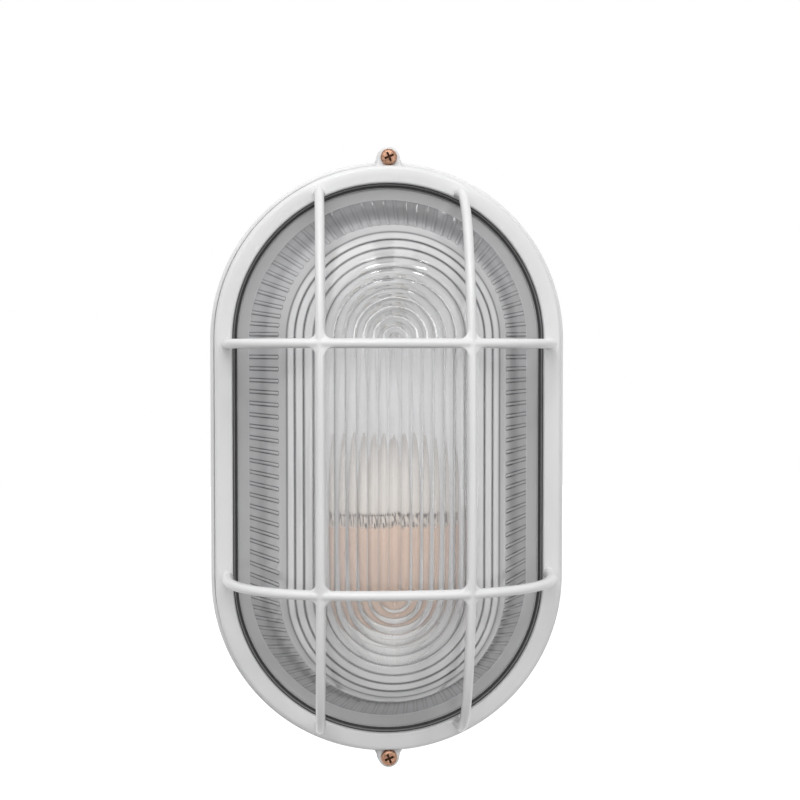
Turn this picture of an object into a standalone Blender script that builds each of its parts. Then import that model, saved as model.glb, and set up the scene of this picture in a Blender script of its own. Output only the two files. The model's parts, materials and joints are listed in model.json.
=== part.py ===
# Oval vapor-tight wall light: cast base and caged bezel, pressed prismatic glass, sealed lamp inside.
# Metres, +Z up. The wall is the plane y = 0 and the front of the light faces -Y.
# A depth is a distance out from the wall. An offset is a distance from the line of arc centres.

import math

import bmesh
import bpy
from mathutils import Vector

# Clearances
SEAT_GAP = 0.0003        # between faces that meet
HOLE_GAP = 0.0003        # round a screw in its hole
CAP_GAP = 0.0007         # between the lamp cap and the screw shell

# Oval plan
ARC_HEIGHT = 0.0575      # centres of the end arcs, above and below the middle
OPENING_RADIUS = 0.0745  # inner edge of the bezel
BEZEL_FACE = 0.0085      # width of the bezel's front face
RIM_STEP = 0.0025        # base rim seen outside the bezel

# Base casting
BASE_DEPTH = 0.0427      # wall to the rim's front face
RIM_THICKNESS = 0.005
BASE_WALL = 0.0034
BASE_FLOOR = 0.003
BASE_DRAFT = 0.0024      # how much narrower the body is at the wall
EDGE_ROUND = 0.0015
LEDGE_DROP = 0.0009      # step that the gasket lies in

# Glass and its gasket
LIP_THICKNESS = 0.0016
GASKET_WEB = 0.0027
GLASS_FLANGE = 0.0028
FLANGE_COVER = 0.0021    # how far the glass flange runs in behind the bezel
LIP_SHOWING = 0.0023     # gasket lip seen inside the bezel
BEZEL_LIP = 0.003
GLASS_THICKNESS = 0.0042
FLANGE_SHOWING = 0.0054  # flat of the glass flange seen inside the gasket
WALL_LEAN = 0.0152       # how far the glass wall leans in from its foot to its shoulder
SHOULDER_ROUND = 0.0036  # from the shoulder in to the outermost ring line
SHOULDER_DROP = 0.0165   # shoulder below the top of the glass
CAGE_CLEARANCE = 0.0072  # between the top of the glass and the bars
DOME_DROP = 0.0114       # how far the dome falls from its middle to the outermost ring line
FIRST_RING = 0.00276     # offset of the innermost ring line
RING_PITCH = 0.00485
RING_RELIEF = 0.0007
RIB_HALF_WIDTH = 0.0009
RIB_RELIEF = 0.0009
RIB_END = 0.0022         # length of a rib's sloping end
ARC_RIBS = 40
SIDE_RIBS = 21

# Cage
BAR_X = 0.0333           # upright bars, each side of the middle
BAR_INSET = 0.0021       # level bars, nearer the middle than the arc centres
BAR_WIDTH = 0.0044
BAR_DEPTH = 0.0056
CAGE_RISE = 0.056        # centre of the bars above the bezel's face
FOOT_INSET = 0.0022      # bar centre outside the bezel's inner edge
FOOT_FLARE = 0.4
FOOT_FIN = 1.6           # how sharply a foot narrows to its outer end
FLARE_HEIGHT = 0.0035
ARCH_POWER = 2.5
FILLET_RADIUS = 0.0036
FILLET_THICKNESS = 0.004

# Lugs and cover screws
SCREW_OVERHANG = 0.004   # cover screws beyond the bezel's edge
LUG_RADIUS = 0.0051
LUG_FLARE = 0.0008
LUG_THICKNESS = 0.005
BASE_LUG_MARGIN = 0.0006
BASE_LUG_THICKNESS = 0.008
COVER_SHANK = 0.0038
COVER_HEAD = 0.0078
COVER_HEAD_HEIGHT = 0.0026
COVER_LENGTH = 0.0118
CROSS_WIDTH = 0.0011
CROSS_SPAN = 0.0044
CROSS_DEPTH = 0.0013

# Reflector tray
TRAY_SHEET = 0.001
TRAY_STANDOFF = 0.0032
TRAY_MARGIN = 0.0022     # tray edge inside the housing wall
TRAY_LIP = 0.008
TRAY_SLOPE = 0.0015
TRAY_BEND = 0.0005
BOSS_RADIUS = 0.0045
SMALL_SHANK = 0.003
SMALL_HEAD = 0.0058
SMALL_HEAD_HEIGHT = 0.0019
TRAY_SCREW_LENGTH = 0.0048
TOP_SCREW_INSET = 0.0061 # upper tray screw in from the tray's edge
LOW_SCREW_INSET = 0.0128
LOW_SCREW_TURN = math.radians(29)  # lower tray screws below the level
EARTH_X = 0.027
WASHER_THICKNESS = 0.0008
WASHER_RADIUS = 0.0042

# Lamp
LAMP_GAP = 0.0008        # between the lamp and the tray behind it
LAMP_RADIUS = 0.03
DIFFUSER_HEIGHT = 0.037
BAND_HEIGHT = 0.0065
BAND_INSET = 0.0008
BODY_HEIGHT = 0.046
BODY_POWER = 0.8
NECK_RADIUS = 0.0155
CAP_RADIUS = 0.0132
CAP_HEIGHT = 0.02
CAP_BEVEL = 0.0026
TIP_RADIUS = 0.0048
TIP_HEIGHT = 0.0035
TIP_BEVEL = 0.0014

# Lampholder and its bracket
HOLDER_RADIUS = 0.0195
HOLDER_COLLAR = 0.0212
HOLDER_COLLAR_HEIGHT = 0.009
HOLDER_NECK_GAP = 0.0008 # lampholder's mouth below the lamp's neck
HOLDER_BACK = 0.0085     # porcelain behind the bore
SHELL_WALL = 0.0006
SHELL_HEIGHT = 0.0185
SHELL_BORE_GAP = 0.0004
CONTACT_RADIUS = 0.006
CONTACT_SHEET = 0.0008
BRACKET_SHEET = 0.0016
BRACKET_WIDTH = 0.03
BRACKET_FOOT = 0.03
BRACKET_RISE = 0.012     # bracket leg above the lamp's axis
BRACKET_INSET = 0.0128   # bracket leg up from the tray's lower end
HOLDER_SCREW_SPREAD = 0.0085  # in front of and behind the lamp's axis
HOLDER_SCREW_LENGTH = 0.0082
BRACKET_SCREW_X = 0.008
BRACKET_SCREW_SETBACK = 0.012
BRACKET_SCREW_LENGTH = 0.0046
TERMINAL_X = 0.0152
TERMINAL_SLOT = (0.0098, 0.0098, 0.0062)
TERMINAL_SIZE = (0.0062, 0.0072, 0.0052)
TERMINAL_SCREW_LENGTH = 0.0036

# Terminal block
BLOCK_DROP = 0.024       # block below the cable entry
BLOCK_SIZE = (0.026, 0.014, 0.02)
BLOCK_POLE_X = 0.0068
BARREL_RADIUS = 0.0025
BARREL_BORE = 0.0013
BARREL_DEPTH = 0.006
CLAMP_OFFSET = 0.0052
CLAMP_SHANK = 0.0022
CLAMP_HEAD = 0.0034
CLAMP_HEAD_HEIGHT = 0.001
BLOCK_HEAD_SINK = 0.0045

# Leads, entry and wall fixings
LEAD_DIAMETER = 0.0022
LEAD_BEND = 0.006
LEAD_PATH = (            # across and above the tray, at even steps down from the block
    (0.02, 0.002),
    (0.036, 0.0),
    (0.04, 0.0),
    (0.04, 0.0),
    (0.038, 0.0),
    (0.035, 0.004),
)
ENTRY_INSET = 0.0231     # cable entry in from the tray's edge
ENTRY_RADIUS = 0.009
ENTRY_FLANGE = 0.0025
ENTRY_RECESS = 0.0014
ENTRY_SKIN = 0.0012
TRAY_ENTRY_MARGIN = 0.0035
FIXING_HEIGHT = 0.042
FIXING_RADIUS = 0.0028
FIXING_FLANGE = 0.0016

# Shape of a screw's head, as shares of its height and radius
HEAD_SIDE = 0.45
HEAD_SHOULDER = 0.86
HEAD_CROWN = 0.72
SHANK_POINT = 0.6        # end of the shank, as a share of its radius
SHANK_TAPER = 0.25       # length of the taper, as a share of the shank

# Fineness of the round work
LEAD_STEPS = 20
ARC_STEPS = 20
GLASS_ARC_STEPS = 20
BAR_STEPS = 18
BAR_SIDES = 8
SCREW_SIDES = 8
TURNED_SIDES = 20
LUG_STEPS = 8
FILLET_STEPS = 4
DOME_STEPS = 7
BODY_STEPS = 5
ROUTE_STEPS = 12
INNER_STATIONS = (0.25, 0.5, 0.7, 0.85, 0.94)

# Sizes that follow from the ones above
BEZEL_RADIUS = OPENING_RADIUS + BEZEL_FACE
RIM_RADIUS = BEZEL_RADIUS + RIM_STEP
LIP_OFFSET = OPENING_RADIUS - LIP_SHOWING
FLANGE_RADIUS = OPENING_RADIUS + FLANGE_COVER
GLASS_FOOT = LIP_OFFSET - FLANGE_SHOWING
GLASS_SHOULDER = GLASS_FOOT - WALL_LEAN
DROP_RADIUS = GLASS_SHOULDER - SHOULDER_ROUND
GASKET_RADIUS = FLANGE_RADIUS + SEAT_GAP + GASKET_WEB
CHANNEL_RADIUS = GASKET_RADIUS + SEAT_GAP
LEDGE_DEPTH = BASE_DEPTH - LEDGE_DROP
GASKET_BACK = LEDGE_DEPTH + SEAT_GAP
FLANGE_BACK = GASKET_BACK + LIP_THICKNESS + SEAT_GAP
FLANGE_FRONT = FLANGE_BACK + GLASS_FLANGE
GASKET_FRONT = FLANGE_FRONT + SEAT_GAP + LIP_THICKNESS
BEZEL_INNER = GASKET_FRONT + SEAT_GAP
BEZEL_FRONT = BEZEL_INNER + BEZEL_LIP
BEZEL_BACK = BASE_DEPTH + SEAT_GAP
HOUSING_FRONT_RADIUS = LIP_OFFSET
HOUSING_BACK_RADIUS = HOUSING_FRONT_RADIUS - BASE_DRAFT
LUG_FRONT = BEZEL_BACK + LUG_THICKNESS
SCREW_HEIGHT = ARC_HEIGHT + BEZEL_RADIUS + SCREW_OVERHANG
BAR_Z = ARC_HEIGHT - BAR_INSET
BAR_FOOT = OPENING_RADIUS + FOOT_INSET
DOME_RISE = CAGE_RISE - BAR_DEPTH / 2 - CAGE_CLEARANCE
SHOULDER_RISE = DOME_RISE - SHOULDER_DROP
UPRIGHT_SPAN = ARC_HEIGHT + math.sqrt(BAR_FOOT ** 2 - BAR_X ** 2)
TRAY_BACK = BASE_FLOOR + TRAY_STANDOFF + SEAT_GAP
TRAY_FRONT = TRAY_BACK + TRAY_SHEET
TRAY_RADIUS = HOUSING_BACK_RADIUS - TRAY_MARGIN
LOW_SCREW_X = (TRAY_RADIUS - LOW_SCREW_INSET) * math.cos(LOW_SCREW_TURN)
LOW_SCREW_Z = -ARC_HEIGHT - (TRAY_RADIUS - LOW_SCREW_INSET) * math.sin(LOW_SCREW_TURN)
TRAY_SCREWS = (
    (0.0, ARC_HEIGHT + TRAY_RADIUS - TOP_SCREW_INSET),
    (-LOW_SCREW_X, LOW_SCREW_Z),
    (LOW_SCREW_X, LOW_SCREW_Z),
)
ENTRY_HEIGHT = ARC_HEIGHT + TRAY_RADIUS - ENTRY_INSET
EARTH_POINT = (-EARTH_X, ENTRY_HEIGHT)
BRACKET_BACK = TRAY_FRONT + SEAT_GAP
BRACKET_FRONT = BRACKET_BACK + BRACKET_SHEET
LAMP_DEPTH = TRAY_FRONT + LAMP_GAP + LAMP_RADIUS
LEG_BACK = BRACKET_INSET - ARC_HEIGHT - TRAY_RADIUS
LEG_FRONT = LEG_BACK + BRACKET_SHEET
HOLDER_BOTTOM = LEG_FRONT + SEAT_GAP
BORE_BOTTOM = HOLDER_BOTTOM + HOLDER_BACK
TIP_BOTTOM = BORE_BOTTOM + CONTACT_SHEET + 2 * SEAT_GAP
CAP_BOTTOM = TIP_BOTTOM + TIP_HEIGHT
NECK_BOTTOM = CAP_BOTTOM + CAP_HEIGHT
BODY_TOP = NECK_BOTTOM + BODY_HEIGHT
LAMP_TOP = BODY_TOP + BAND_HEIGHT + DIFFUSER_HEIGHT
HOLDER_TOP = NECK_BOTTOM - HOLDER_NECK_GAP
SHELL_RADIUS = CAP_RADIUS + CAP_GAP + SHELL_WALL
BORE_RADIUS = SHELL_RADIUS + SHELL_BORE_GAP
BLOCK_HEIGHT = ENTRY_HEIGHT - BLOCK_DROP
BLOCK_BACK = TRAY_FRONT + SEAT_GAP
BLOCK_FRONT = BLOCK_BACK + BLOCK_SIZE[1]
TERMINAL_Z = HOLDER_BOTTOM + TERMINAL_SLOT[2] / 2


def clear_scene():
    for thing in list(bpy.data.objects):
        bpy.data.objects.remove(thing, do_unlink=True)


def material(name, colour, roughness, metallic=0.0, transmission=0.0):
    """A Principled material, made once and then shared."""
    found = bpy.data.materials.get(name)
    if found:
        return found
    made = bpy.data.materials.new(name)
    made.use_nodes = True
    shader = made.node_tree.nodes["Principled BSDF"]
    shader.inputs["Base Color"].default_value = (*colour, 1.0)
    shader.inputs["Roughness"].default_value = roughness
    shader.inputs["Metallic"].default_value = metallic
    shader.inputs["Transmission Weight"].default_value = transmission
    made.diffuse_color = (*colour, 1.0)
    return made


def white_casting():
    return material("white_casting", (0.80, 0.80, 0.79), 0.35)


def clear_glass():
    return material("clear_glass", (0.93, 0.95, 0.95), 0.05, transmission=0.9)


def black_rubber():
    return material("black_rubber", (0.02, 0.02, 0.02), 0.6)


def white_sheet():
    return material("white_sheet", (0.85, 0.85, 0.84), 0.4)


def zinc_steel():
    return material("zinc_steel", (0.55, 0.56, 0.57), 0.35, metallic=1.0)


def yellow_zinc():
    return material("yellow_zinc", (0.62, 0.36, 0.20), 0.3, metallic=1.0)


def brass():
    return material("brass", (0.72, 0.53, 0.24), 0.3, metallic=1.0)


def porcelain():
    return material("porcelain", (0.86, 0.85, 0.81), 0.2)


def lamp_plastic():
    return material("lamp_plastic", (0.80, 0.62, 0.48), 0.4)


def lead_sheath():
    return material("lead_sheath", (0.78, 0.78, 0.76), 0.5)


def finish(name, mesh_data, surface, smooth=math.radians(35)):
    """Turn a bmesh into a named object whose faces point outwards."""
    bmesh.ops.recalc_face_normals(mesh_data, faces=mesh_data.faces)
    mesh = bpy.data.meshes.new(name)
    mesh_data.to_mesh(mesh)
    mesh_data.free()
    mesh.shade_smooth()
    mesh.set_sharp_from_angle(angle=smooth)
    mesh.materials.append(surface)
    thing = bpy.data.objects.new(name, mesh)
    bpy.context.scene.collection.objects.link(thing)
    return thing


def tool(name, mesh_data):
    """A hidden shape that cuts or joins."""
    thing = finish(name, mesh_data, white_casting())
    thing.hide_render = True
    thing.display_type = "WIRE"
    return thing


def combine(target, other, operation):
    step = target.modifiers.new(f"{operation.lower()}_{other.name}", "BOOLEAN")
    step.operation = operation
    step.solver = "EXACT"
    step.object = other


def track(arc_steps):
    """Columns round the oval: outward normal (x, z) and the height it starts from."""
    columns = []
    for side, start in ((1, 0.0), (-1, math.pi)):
        for step in range(arc_steps + 1):
            angle = start + math.pi * step / arc_steps
            columns.append((math.cos(angle), math.sin(angle), side * ARC_HEIGHT))
    return columns


def oval_ring(mesh_data, columns, offset, depth):
    ring = []
    for normal_x, normal_z, height in columns:
        ring.append(mesh_data.verts.new((normal_x * offset, -depth, height + normal_z * offset)))
    return ring


def skin(mesh_data, first, second):
    """Join two rings of the same count with one band of quads."""
    count = len(first)
    for index in range(count):
        after = (index + 1) % count
        mesh_data.faces.new((first[index], first[after], second[after], second[index]))


def oval_body(mesh_data, columns, outline, closed):
    """Sweep (offset, depth) points round the oval; an open outline is capped at both ends."""
    rings = [oval_ring(mesh_data, columns, offset, depth) for offset, depth in outline]
    for first, second in zip(rings, rings[1:]):
        skin(mesh_data, first, second)
    if closed:
        skin(mesh_data, rings[-1], rings[0])
    else:
        mesh_data.faces.new(rings[0])
        mesh_data.faces.new(rings[-1])
    return rings


def turn(mesh_data, outline, centre, axis, sides):
    """Spin (radius, distance) points about an axis through centre."""
    axis = Vector(axis).normalized()
    across = axis.orthogonal().normalized()
    centre = Vector(centre)
    points = [mesh_data.verts.new(centre + across * radius + axis * along) for radius, along in outline]
    edges = [mesh_data.edges.new(pair) for pair in zip(points, points[1:])]
    bmesh.ops.spin(
        mesh_data, geom=points + edges, cent=centre, axis=axis, angle=2 * math.pi, steps=sides,
    )
    bmesh.ops.remove_doubles(mesh_data, verts=mesh_data.verts, dist=1e-6)


def cylinder(mesh_data, radius, start, end, centre, axis, sides):
    turn(mesh_data, ((0.0, start), (radius, start), (radius, end), (0.0, end)), centre, axis, sides)


def block(mesh_data, low, high):
    corners = []
    for x in (low[0], high[0]):
        for y in (low[1], high[1]):
            for z in (low[2], high[2]):
                corners.append(mesh_data.verts.new((x, y, z)))
    for face in ((0, 1, 3, 2), (4, 6, 7, 5), (0, 4, 5, 1), (2, 3, 7, 6), (0, 2, 6, 4), (1, 5, 7, 3)):
        mesh_data.faces.new([corners[index] for index in face])


def prism(mesh_data, outline, back, front):
    """Extrude an (x, z) outline between two depths."""
    rear = [mesh_data.verts.new((x, -back, z)) for x, z in outline]
    fore = [mesh_data.verts.new((x, -front, z)) for x, z in outline]
    skin(mesh_data, rear, fore)
    mesh_data.faces.new(rear)
    mesh_data.faces.new(fore)


def lug_outline(side, radius, root):
    """A tab that runs out from the rim and ends in a half circle round the screw."""
    outline = [(radius + LUG_FLARE, side * root)]
    for step in range(LUG_STEPS + 1):
        angle = math.pi * step / LUG_STEPS
        outline.append((radius * math.cos(angle), side * (SCREW_HEIGHT + radius * math.sin(angle))))
    outline.append((-radius - LUG_FLARE, side * root))
    return outline


def lugs(radius, root, back, front):
    mesh_data = bmesh.new()
    for side in (1, -1):
        prism(mesh_data, lug_outline(side, radius, root), back, front)
    return mesh_data


def lug_holes(name, back, front):
    mesh_data = bmesh.new()
    for side in (1, -1):
        centre = (0.0, 0.0, side * SCREW_HEIGHT)
        cylinder(mesh_data, COVER_SHANK / 2 + HOLE_GAP, back, front, centre, (0, -1, 0), SCREW_SIDES)
    return tool(name, mesh_data)


def base_outline():
    back = HOUSING_BACK_RADIUS + BASE_WALL
    front = HOUSING_FRONT_RADIUS + BASE_WALL
    rim_back = BASE_DEPTH - RIM_THICKNESS
    bevel = EDGE_ROUND / 2
    return (
        (back - EDGE_ROUND, 0.0),
        (back, EDGE_ROUND),
        (front, rim_back - EDGE_ROUND),
        (front + EDGE_ROUND, rim_back),
        (RIM_RADIUS - bevel, rim_back),
        (RIM_RADIUS, rim_back + bevel),
        (RIM_RADIUS, BASE_DEPTH - bevel),
        (RIM_RADIUS - bevel, BASE_DEPTH),
        (CHANNEL_RADIUS, BASE_DEPTH),
        (CHANNEL_RADIUS, LEDGE_DEPTH),
        (HOUSING_FRONT_RADIUS, LEDGE_DEPTH),
        (HOUSING_BACK_RADIUS, BASE_FLOOR + EDGE_ROUND),
        (HOUSING_BACK_RADIUS - EDGE_ROUND, BASE_FLOOR),
    )


def base_housing():
    mesh_data = bmesh.new()
    oval_body(mesh_data, track(ARC_STEPS), base_outline(), closed=False)
    housing = finish("base_housing", mesh_data, white_casting())
    root = ARC_HEIGHT + (CHANNEL_RADIUS + RIM_RADIUS) / 2
    lug = lugs(LUG_RADIUS + BASE_LUG_MARGIN, root, BASE_DEPTH - BASE_LUG_THICKNESS, BASE_DEPTH)
    combine(housing, tool("join_base_lugs", lug), "UNION")
    combine(housing, tray_bosses(), "UNION")
    combine(housing, base_holes(), "DIFFERENCE")
    return housing


def tray_bosses():
    mesh_data = bmesh.new()
    for x, z in TRAY_SCREWS + (EARTH_POINT,):
        root = BASE_FLOOR / 2
        tip = BASE_FLOOR + TRAY_STANDOFF
        cylinder(mesh_data, BOSS_RADIUS, root, tip, (x, 0, z), (0, -1, 0), SCREW_SIDES)
    return tool("join_bosses", mesh_data)


def base_holes():
    """Holes for the screws, the rear cable entry and the two wall fixings."""
    mesh_data = bmesh.new()
    out = (0, -1, 0)
    pilot = SMALL_SHANK / 2 + HOLE_GAP
    above = BASE_FLOOR + 2 * TRAY_STANDOFF
    for x, z in TRAY_SCREWS + (EARTH_POINT,):
        cylinder(mesh_data, pilot, BASE_FLOOR / 2, above, (x, 0, z), out, SCREW_SIDES)
    lug_back = BASE_DEPTH - BASE_LUG_THICKNESS - SEAT_GAP
    for side in (1, -1):
        centre = (0.0, 0.0, side * SCREW_HEIGHT)
        cylinder(mesh_data, COVER_SHANK / 2 + HOLE_GAP, lug_back, BEZEL_FRONT, centre, out, SCREW_SIDES)
        entry_cut(mesh_data, FIXING_RADIUS, FIXING_FLANGE, side * FIXING_HEIGHT)
    entry_cut(mesh_data, ENTRY_RADIUS, ENTRY_FLANGE, ENTRY_HEIGHT)
    return tool("cut_base_holes", mesh_data)


def entry_cut(mesh_data, radius, flange, height):
    """A round hole through the floor, with a shallow recess at the wall side."""
    outline = (
        (0.0, -BASE_FLOOR),
        (radius + flange + HOLE_GAP, -BASE_FLOOR),
        (radius + flange + HOLE_GAP, ENTRY_RECESS),
        (radius, ENTRY_RECESS),
        (radius, 2 * BASE_FLOOR),
        (0.0, 2 * BASE_FLOOR),
    )
    turn(mesh_data, outline, (0, 0, height), (0, -1, 0), TURNED_SIDES // 2)


def grommet(name, radius, flange, height):
    """A rubber seal with a closed skin, gripping the edge of its hole."""
    inner = radius - SEAT_GAP
    outer = radius + flange
    groove_back = ENTRY_RECESS - SEAT_GAP
    groove_front = BASE_FLOOR + SEAT_GAP
    outline = (
        (0.0, SEAT_GAP),
        (outer, SEAT_GAP),
        (outer, groove_back),
        (inner, groove_back),
        (inner, groove_front),
        (outer - flange / 4, groove_front),
        (inner, groove_front + ENTRY_SKIN),
        (0.0, groove_front + ENTRY_SKIN),
    )
    mesh_data = bmesh.new()
    turn(mesh_data, outline, (0, 0, height), (0, -1, 0), TURNED_SIDES // 2)
    return finish(name, mesh_data, black_rubber())


def bezel_outline():
    crown = EDGE_ROUND / 4
    return (
        (OPENING_RADIUS, BEZEL_FRONT - EDGE_ROUND),
        (OPENING_RADIUS + EDGE_ROUND / 2, BEZEL_FRONT - crown),
        (OPENING_RADIUS + BEZEL_FACE / 3, BEZEL_FRONT),
        (BEZEL_RADIUS - BEZEL_FACE / 3, BEZEL_FRONT - crown / 2),
        (BEZEL_RADIUS - EDGE_ROUND / 2, BEZEL_FRONT - EDGE_ROUND),
        (BEZEL_RADIUS, BEZEL_FRONT - EDGE_ROUND * 2),
        (BEZEL_RADIUS, BEZEL_BACK),
        (CHANNEL_RADIUS, BEZEL_BACK),
        (CHANNEL_RADIUS, BEZEL_INNER),
        (OPENING_RADIUS, BEZEL_INNER),
    )


def arch_point(angle, half_span):
    """Across and up, for one station of a cage bar's arch."""
    power = 2 / ARCH_POWER
    across = half_span * math.copysign(abs(math.cos(angle)) ** power, math.cos(angle))
    return across, CAGE_RISE * math.sin(angle) ** power


def arch_path(half_span):
    root = -BEZEL_LIP / 2
    path = [(half_span, root)]
    for step in range(BAR_STEPS + 1):
        angle = math.pi * step / BAR_STEPS
        across, rise = arch_point(angle, half_span)
        path.append((across, max(rise, 0.0)))
    path.append((-half_span, root))
    return path


def bar_section(turn_angle, nearness):
    """Sideways and outward place on a bar's oval, which flares near its foot and ends there in a fin."""
    share = math.cos(turn_angle)
    if math.sin(turn_angle) > 0:
        share = math.copysign(abs(share) ** (1 + FOOT_FIN * nearness), share)
    return BAR_WIDTH / 2 * (1 + FOOT_FLARE * nearness) * share, BAR_DEPTH / 2 * math.sin(turn_angle)


def cage_bar(half_span, place):
    """An oval section carried along the arch; place maps (across, rise, sideways) to space."""
    mesh_data = bmesh.new()
    path = arch_path(half_span)
    rings = []
    for index, (across, rise) in enumerate(path):
        before = path[max(index - 1, 0)]
        after = path[min(index + 1, len(path) - 1)]
        along = Vector((after[0] - before[0], after[1] - before[1])).normalized()
        nearness = math.exp(-max(rise, 0.0) / FLARE_HEIGHT)
        ring = []
        for side in range(BAR_SIDES):
            sideways, out = bar_section(2 * math.pi * side / BAR_SIDES, nearness)
            point = place(across - along.y * out, rise + along.x * out, sideways)
            ring.append(mesh_data.verts.new(point))
        rings.append(ring)
    for first, second in zip(rings, rings[1:]):
        skin(mesh_data, first, second)
    mesh_data.faces.new(rings[0])
    mesh_data.faces.new(rings[-1])
    return mesh_data


def upright_bar(side):
    def place(across, rise, sideways):
        return side * BAR_X + sideways, -(BEZEL_FRONT + rise), across

    name = "join_bar_right" if side > 0 else "join_bar_left"
    return tool(name, cage_bar(UPRIGHT_SPAN, place))


def level_bar(side):
    def place(across, rise, sideways):
        return across, -(BEZEL_FRONT + rise), side * BAR_Z + sideways

    name = "join_bar_upper" if side > 0 else "join_bar_lower"
    return tool(name, cage_bar(BAR_FOOT, place))


def arch_height(across, half_span):
    return CAGE_RISE * (1 - (abs(across) / half_span) ** ARCH_POWER) ** (1 / ARCH_POWER)


def star_outline(reach):
    """A four-pointed web round the crossing of two bars, with hollow quarter-circle sides."""
    outline = []
    for quarter in range(4):
        facing = Vector((math.cos(math.pi / 2 * quarter), math.sin(math.pi / 2 * quarter)))
        left = Vector((-facing.y, facing.x))
        for step in range(FILLET_STEPS + 1):
            swing = math.pi / 2 * step / FILLET_STEPS
            along = reach - FILLET_RADIUS * math.sin(swing)
            off = reach - FILLET_RADIUS * math.cos(swing)
            outline.append(facing * along + left * off)
    return outline


def cage_depth(x, z):
    """Depth of the bars' middle line near a crossing."""
    fall = arch_height(BAR_Z, UPRIGHT_SPAN) - arch_height(z, UPRIGHT_SPAN)
    return BEZEL_FRONT + arch_height(x, BAR_FOOT) - fall


def crossing_fillets():
    """Webs that round the corners where the bars cross."""
    outline = star_outline(BAR_WIDTH / 2 - SEAT_GAP + FILLET_RADIUS)
    half = FILLET_THICKNESS / 2
    mesh_data = bmesh.new()
    for side_x in (1, -1):
        for side_z in (1, -1):
            rear, fore = [], []
            for point in outline:
                x = side_x * BAR_X + point.x
                z = side_z * BAR_Z + point.y
                depth = cage_depth(x, z)
                rear.append(mesh_data.verts.new((x, half - depth, z)))
                fore.append(mesh_data.verts.new((x, -half - depth, z)))
            skin(mesh_data, rear, fore)
            mesh_data.faces.new(rear)
            mesh_data.faces.new(fore)
    return tool("join_crossing_fillets", mesh_data)


def guard_frame():
    mesh_data = bmesh.new()
    oval_body(mesh_data, track(ARC_STEPS), bezel_outline(), closed=True)
    frame = finish("guard_frame", mesh_data, white_casting())
    root = ARC_HEIGHT + (CHANNEL_RADIUS + BEZEL_RADIUS) / 2
    combine(frame, tool("join_frame_lugs", lugs(LUG_RADIUS, root, BEZEL_BACK, LUG_FRONT)), "UNION")
    for side in (1, -1):
        combine(frame, upright_bar(side), "UNION")
        combine(frame, level_bar(side), "UNION")
    combine(frame, crossing_fillets(), "UNION")
    combine(frame, lug_holes("cut_frame_lugs", BEZEL_BACK - SEAT_GAP, BEZEL_FRONT), "DIFFERENCE")
    return frame


def lens_gasket():
    soft = LIP_THICKNESS / 4
    groove = FLANGE_RADIUS + SEAT_GAP
    outline = (
        (LIP_OFFSET, GASKET_BACK),
        (GASKET_RADIUS, GASKET_BACK),
        (GASKET_RADIUS, GASKET_FRONT),
        (LIP_OFFSET + soft, GASKET_FRONT),
        (LIP_OFFSET, GASKET_FRONT - soft),
        (LIP_OFFSET, GASKET_FRONT - LIP_THICKNESS),
        (groove, GASKET_FRONT - LIP_THICKNESS),
        (groove, GASKET_BACK + LIP_THICKNESS),
        (LIP_OFFSET, GASKET_BACK + LIP_THICKNESS),
    )
    mesh_data = bmesh.new()
    oval_body(mesh_data, track(ARC_STEPS), outline, closed=True)
    return finish("lens_gasket", mesh_data, black_rubber())


def dome_depth(offset):
    return BEZEL_FRONT + DOME_RISE - DOME_DROP * (offset / DROP_RADIUS) ** 4


def ring_valleys():
    """Offsets of the ring lines, a pitch apart along the dome's own surface."""
    valleys = [FIRST_RING]
    while valleys[-1] < DROP_RADIUS - RING_PITCH / 2:
        offset = valleys[-1] + RING_PITCH / 2
        slope = 4 * DOME_DROP * offset ** 3 / DROP_RADIUS ** 4
        valleys.append(valleys[-1] + RING_PITCH / math.hypot(1, slope))
    return valleys


def dome_outline():
    """From the shoulder in to the middle: a valley at each ring line and a crest between."""
    valleys = ring_valleys()[::-1]
    outline = []
    for index, valley in enumerate(valleys):
        outline.append((valley, dome_depth(valley) - RING_RELIEF))
        if index + 1 < len(valleys):
            crest = (valley + valleys[index + 1]) / 2
            outline.append((crest, dome_depth(crest)))
    return outline


def inner_outline():
    """The smooth inside of the glass, from the middle back to the flange."""
    shoulder = GLASS_SHOULDER - GLASS_THICKNESS
    outline = [(shoulder * part, dome_depth(shoulder * part) - GLASS_THICKNESS) for part in INNER_STATIONS]
    outline.append((shoulder, BEZEL_FRONT + SHOULDER_RISE - GLASS_THICKNESS / 2))
    outline.append((GLASS_FOOT - GLASS_THICKNESS, FLANGE_BACK))
    return outline


def ribbed_columns():
    """Columns of the ribbed wall, each with its relief, and which of them the plain rings share."""
    columns, relief, shared = [], [], []
    spread = RIB_HALF_WIDTH / ((GLASS_FOOT + GLASS_SHOULDER) / 2)
    cells_per_step = ARC_RIBS // GLASS_ARC_STEPS
    for side, start in ((1, 0.0), (-1, math.pi)):
        height = side * ARC_HEIGHT
        for cell in range(ARC_RIBS + 1):
            edge = start + math.pi * cell / ARC_RIBS
            if cell % cells_per_step == 0:
                shared.append(len(columns))
                columns.append((math.cos(edge), math.sin(edge), height))
                relief.append(0.0)
            if cell < ARC_RIBS:
                middle = start + math.pi * (cell + 0.5) / ARC_RIBS
                for shift, raised in ((-spread, 0.0), (0.0, RIB_RELIEF), (spread, 0.0)):
                    columns.append((math.cos(middle + shift), math.sin(middle + shift), height))
                    relief.append(raised)
        for cell in range(SIDE_RIBS):
            middle = height - side * 2 * ARC_HEIGHT * (cell + 0.5) / SIDE_RIBS
            for shift, raised in ((RIB_HALF_WIDTH, 0.0), (0.0, RIB_RELIEF), (-RIB_HALF_WIDTH, 0.0)):
                columns.append((-side, 0.0, middle + side * shift))
                relief.append(raised)
    return columns, relief, shared


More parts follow.
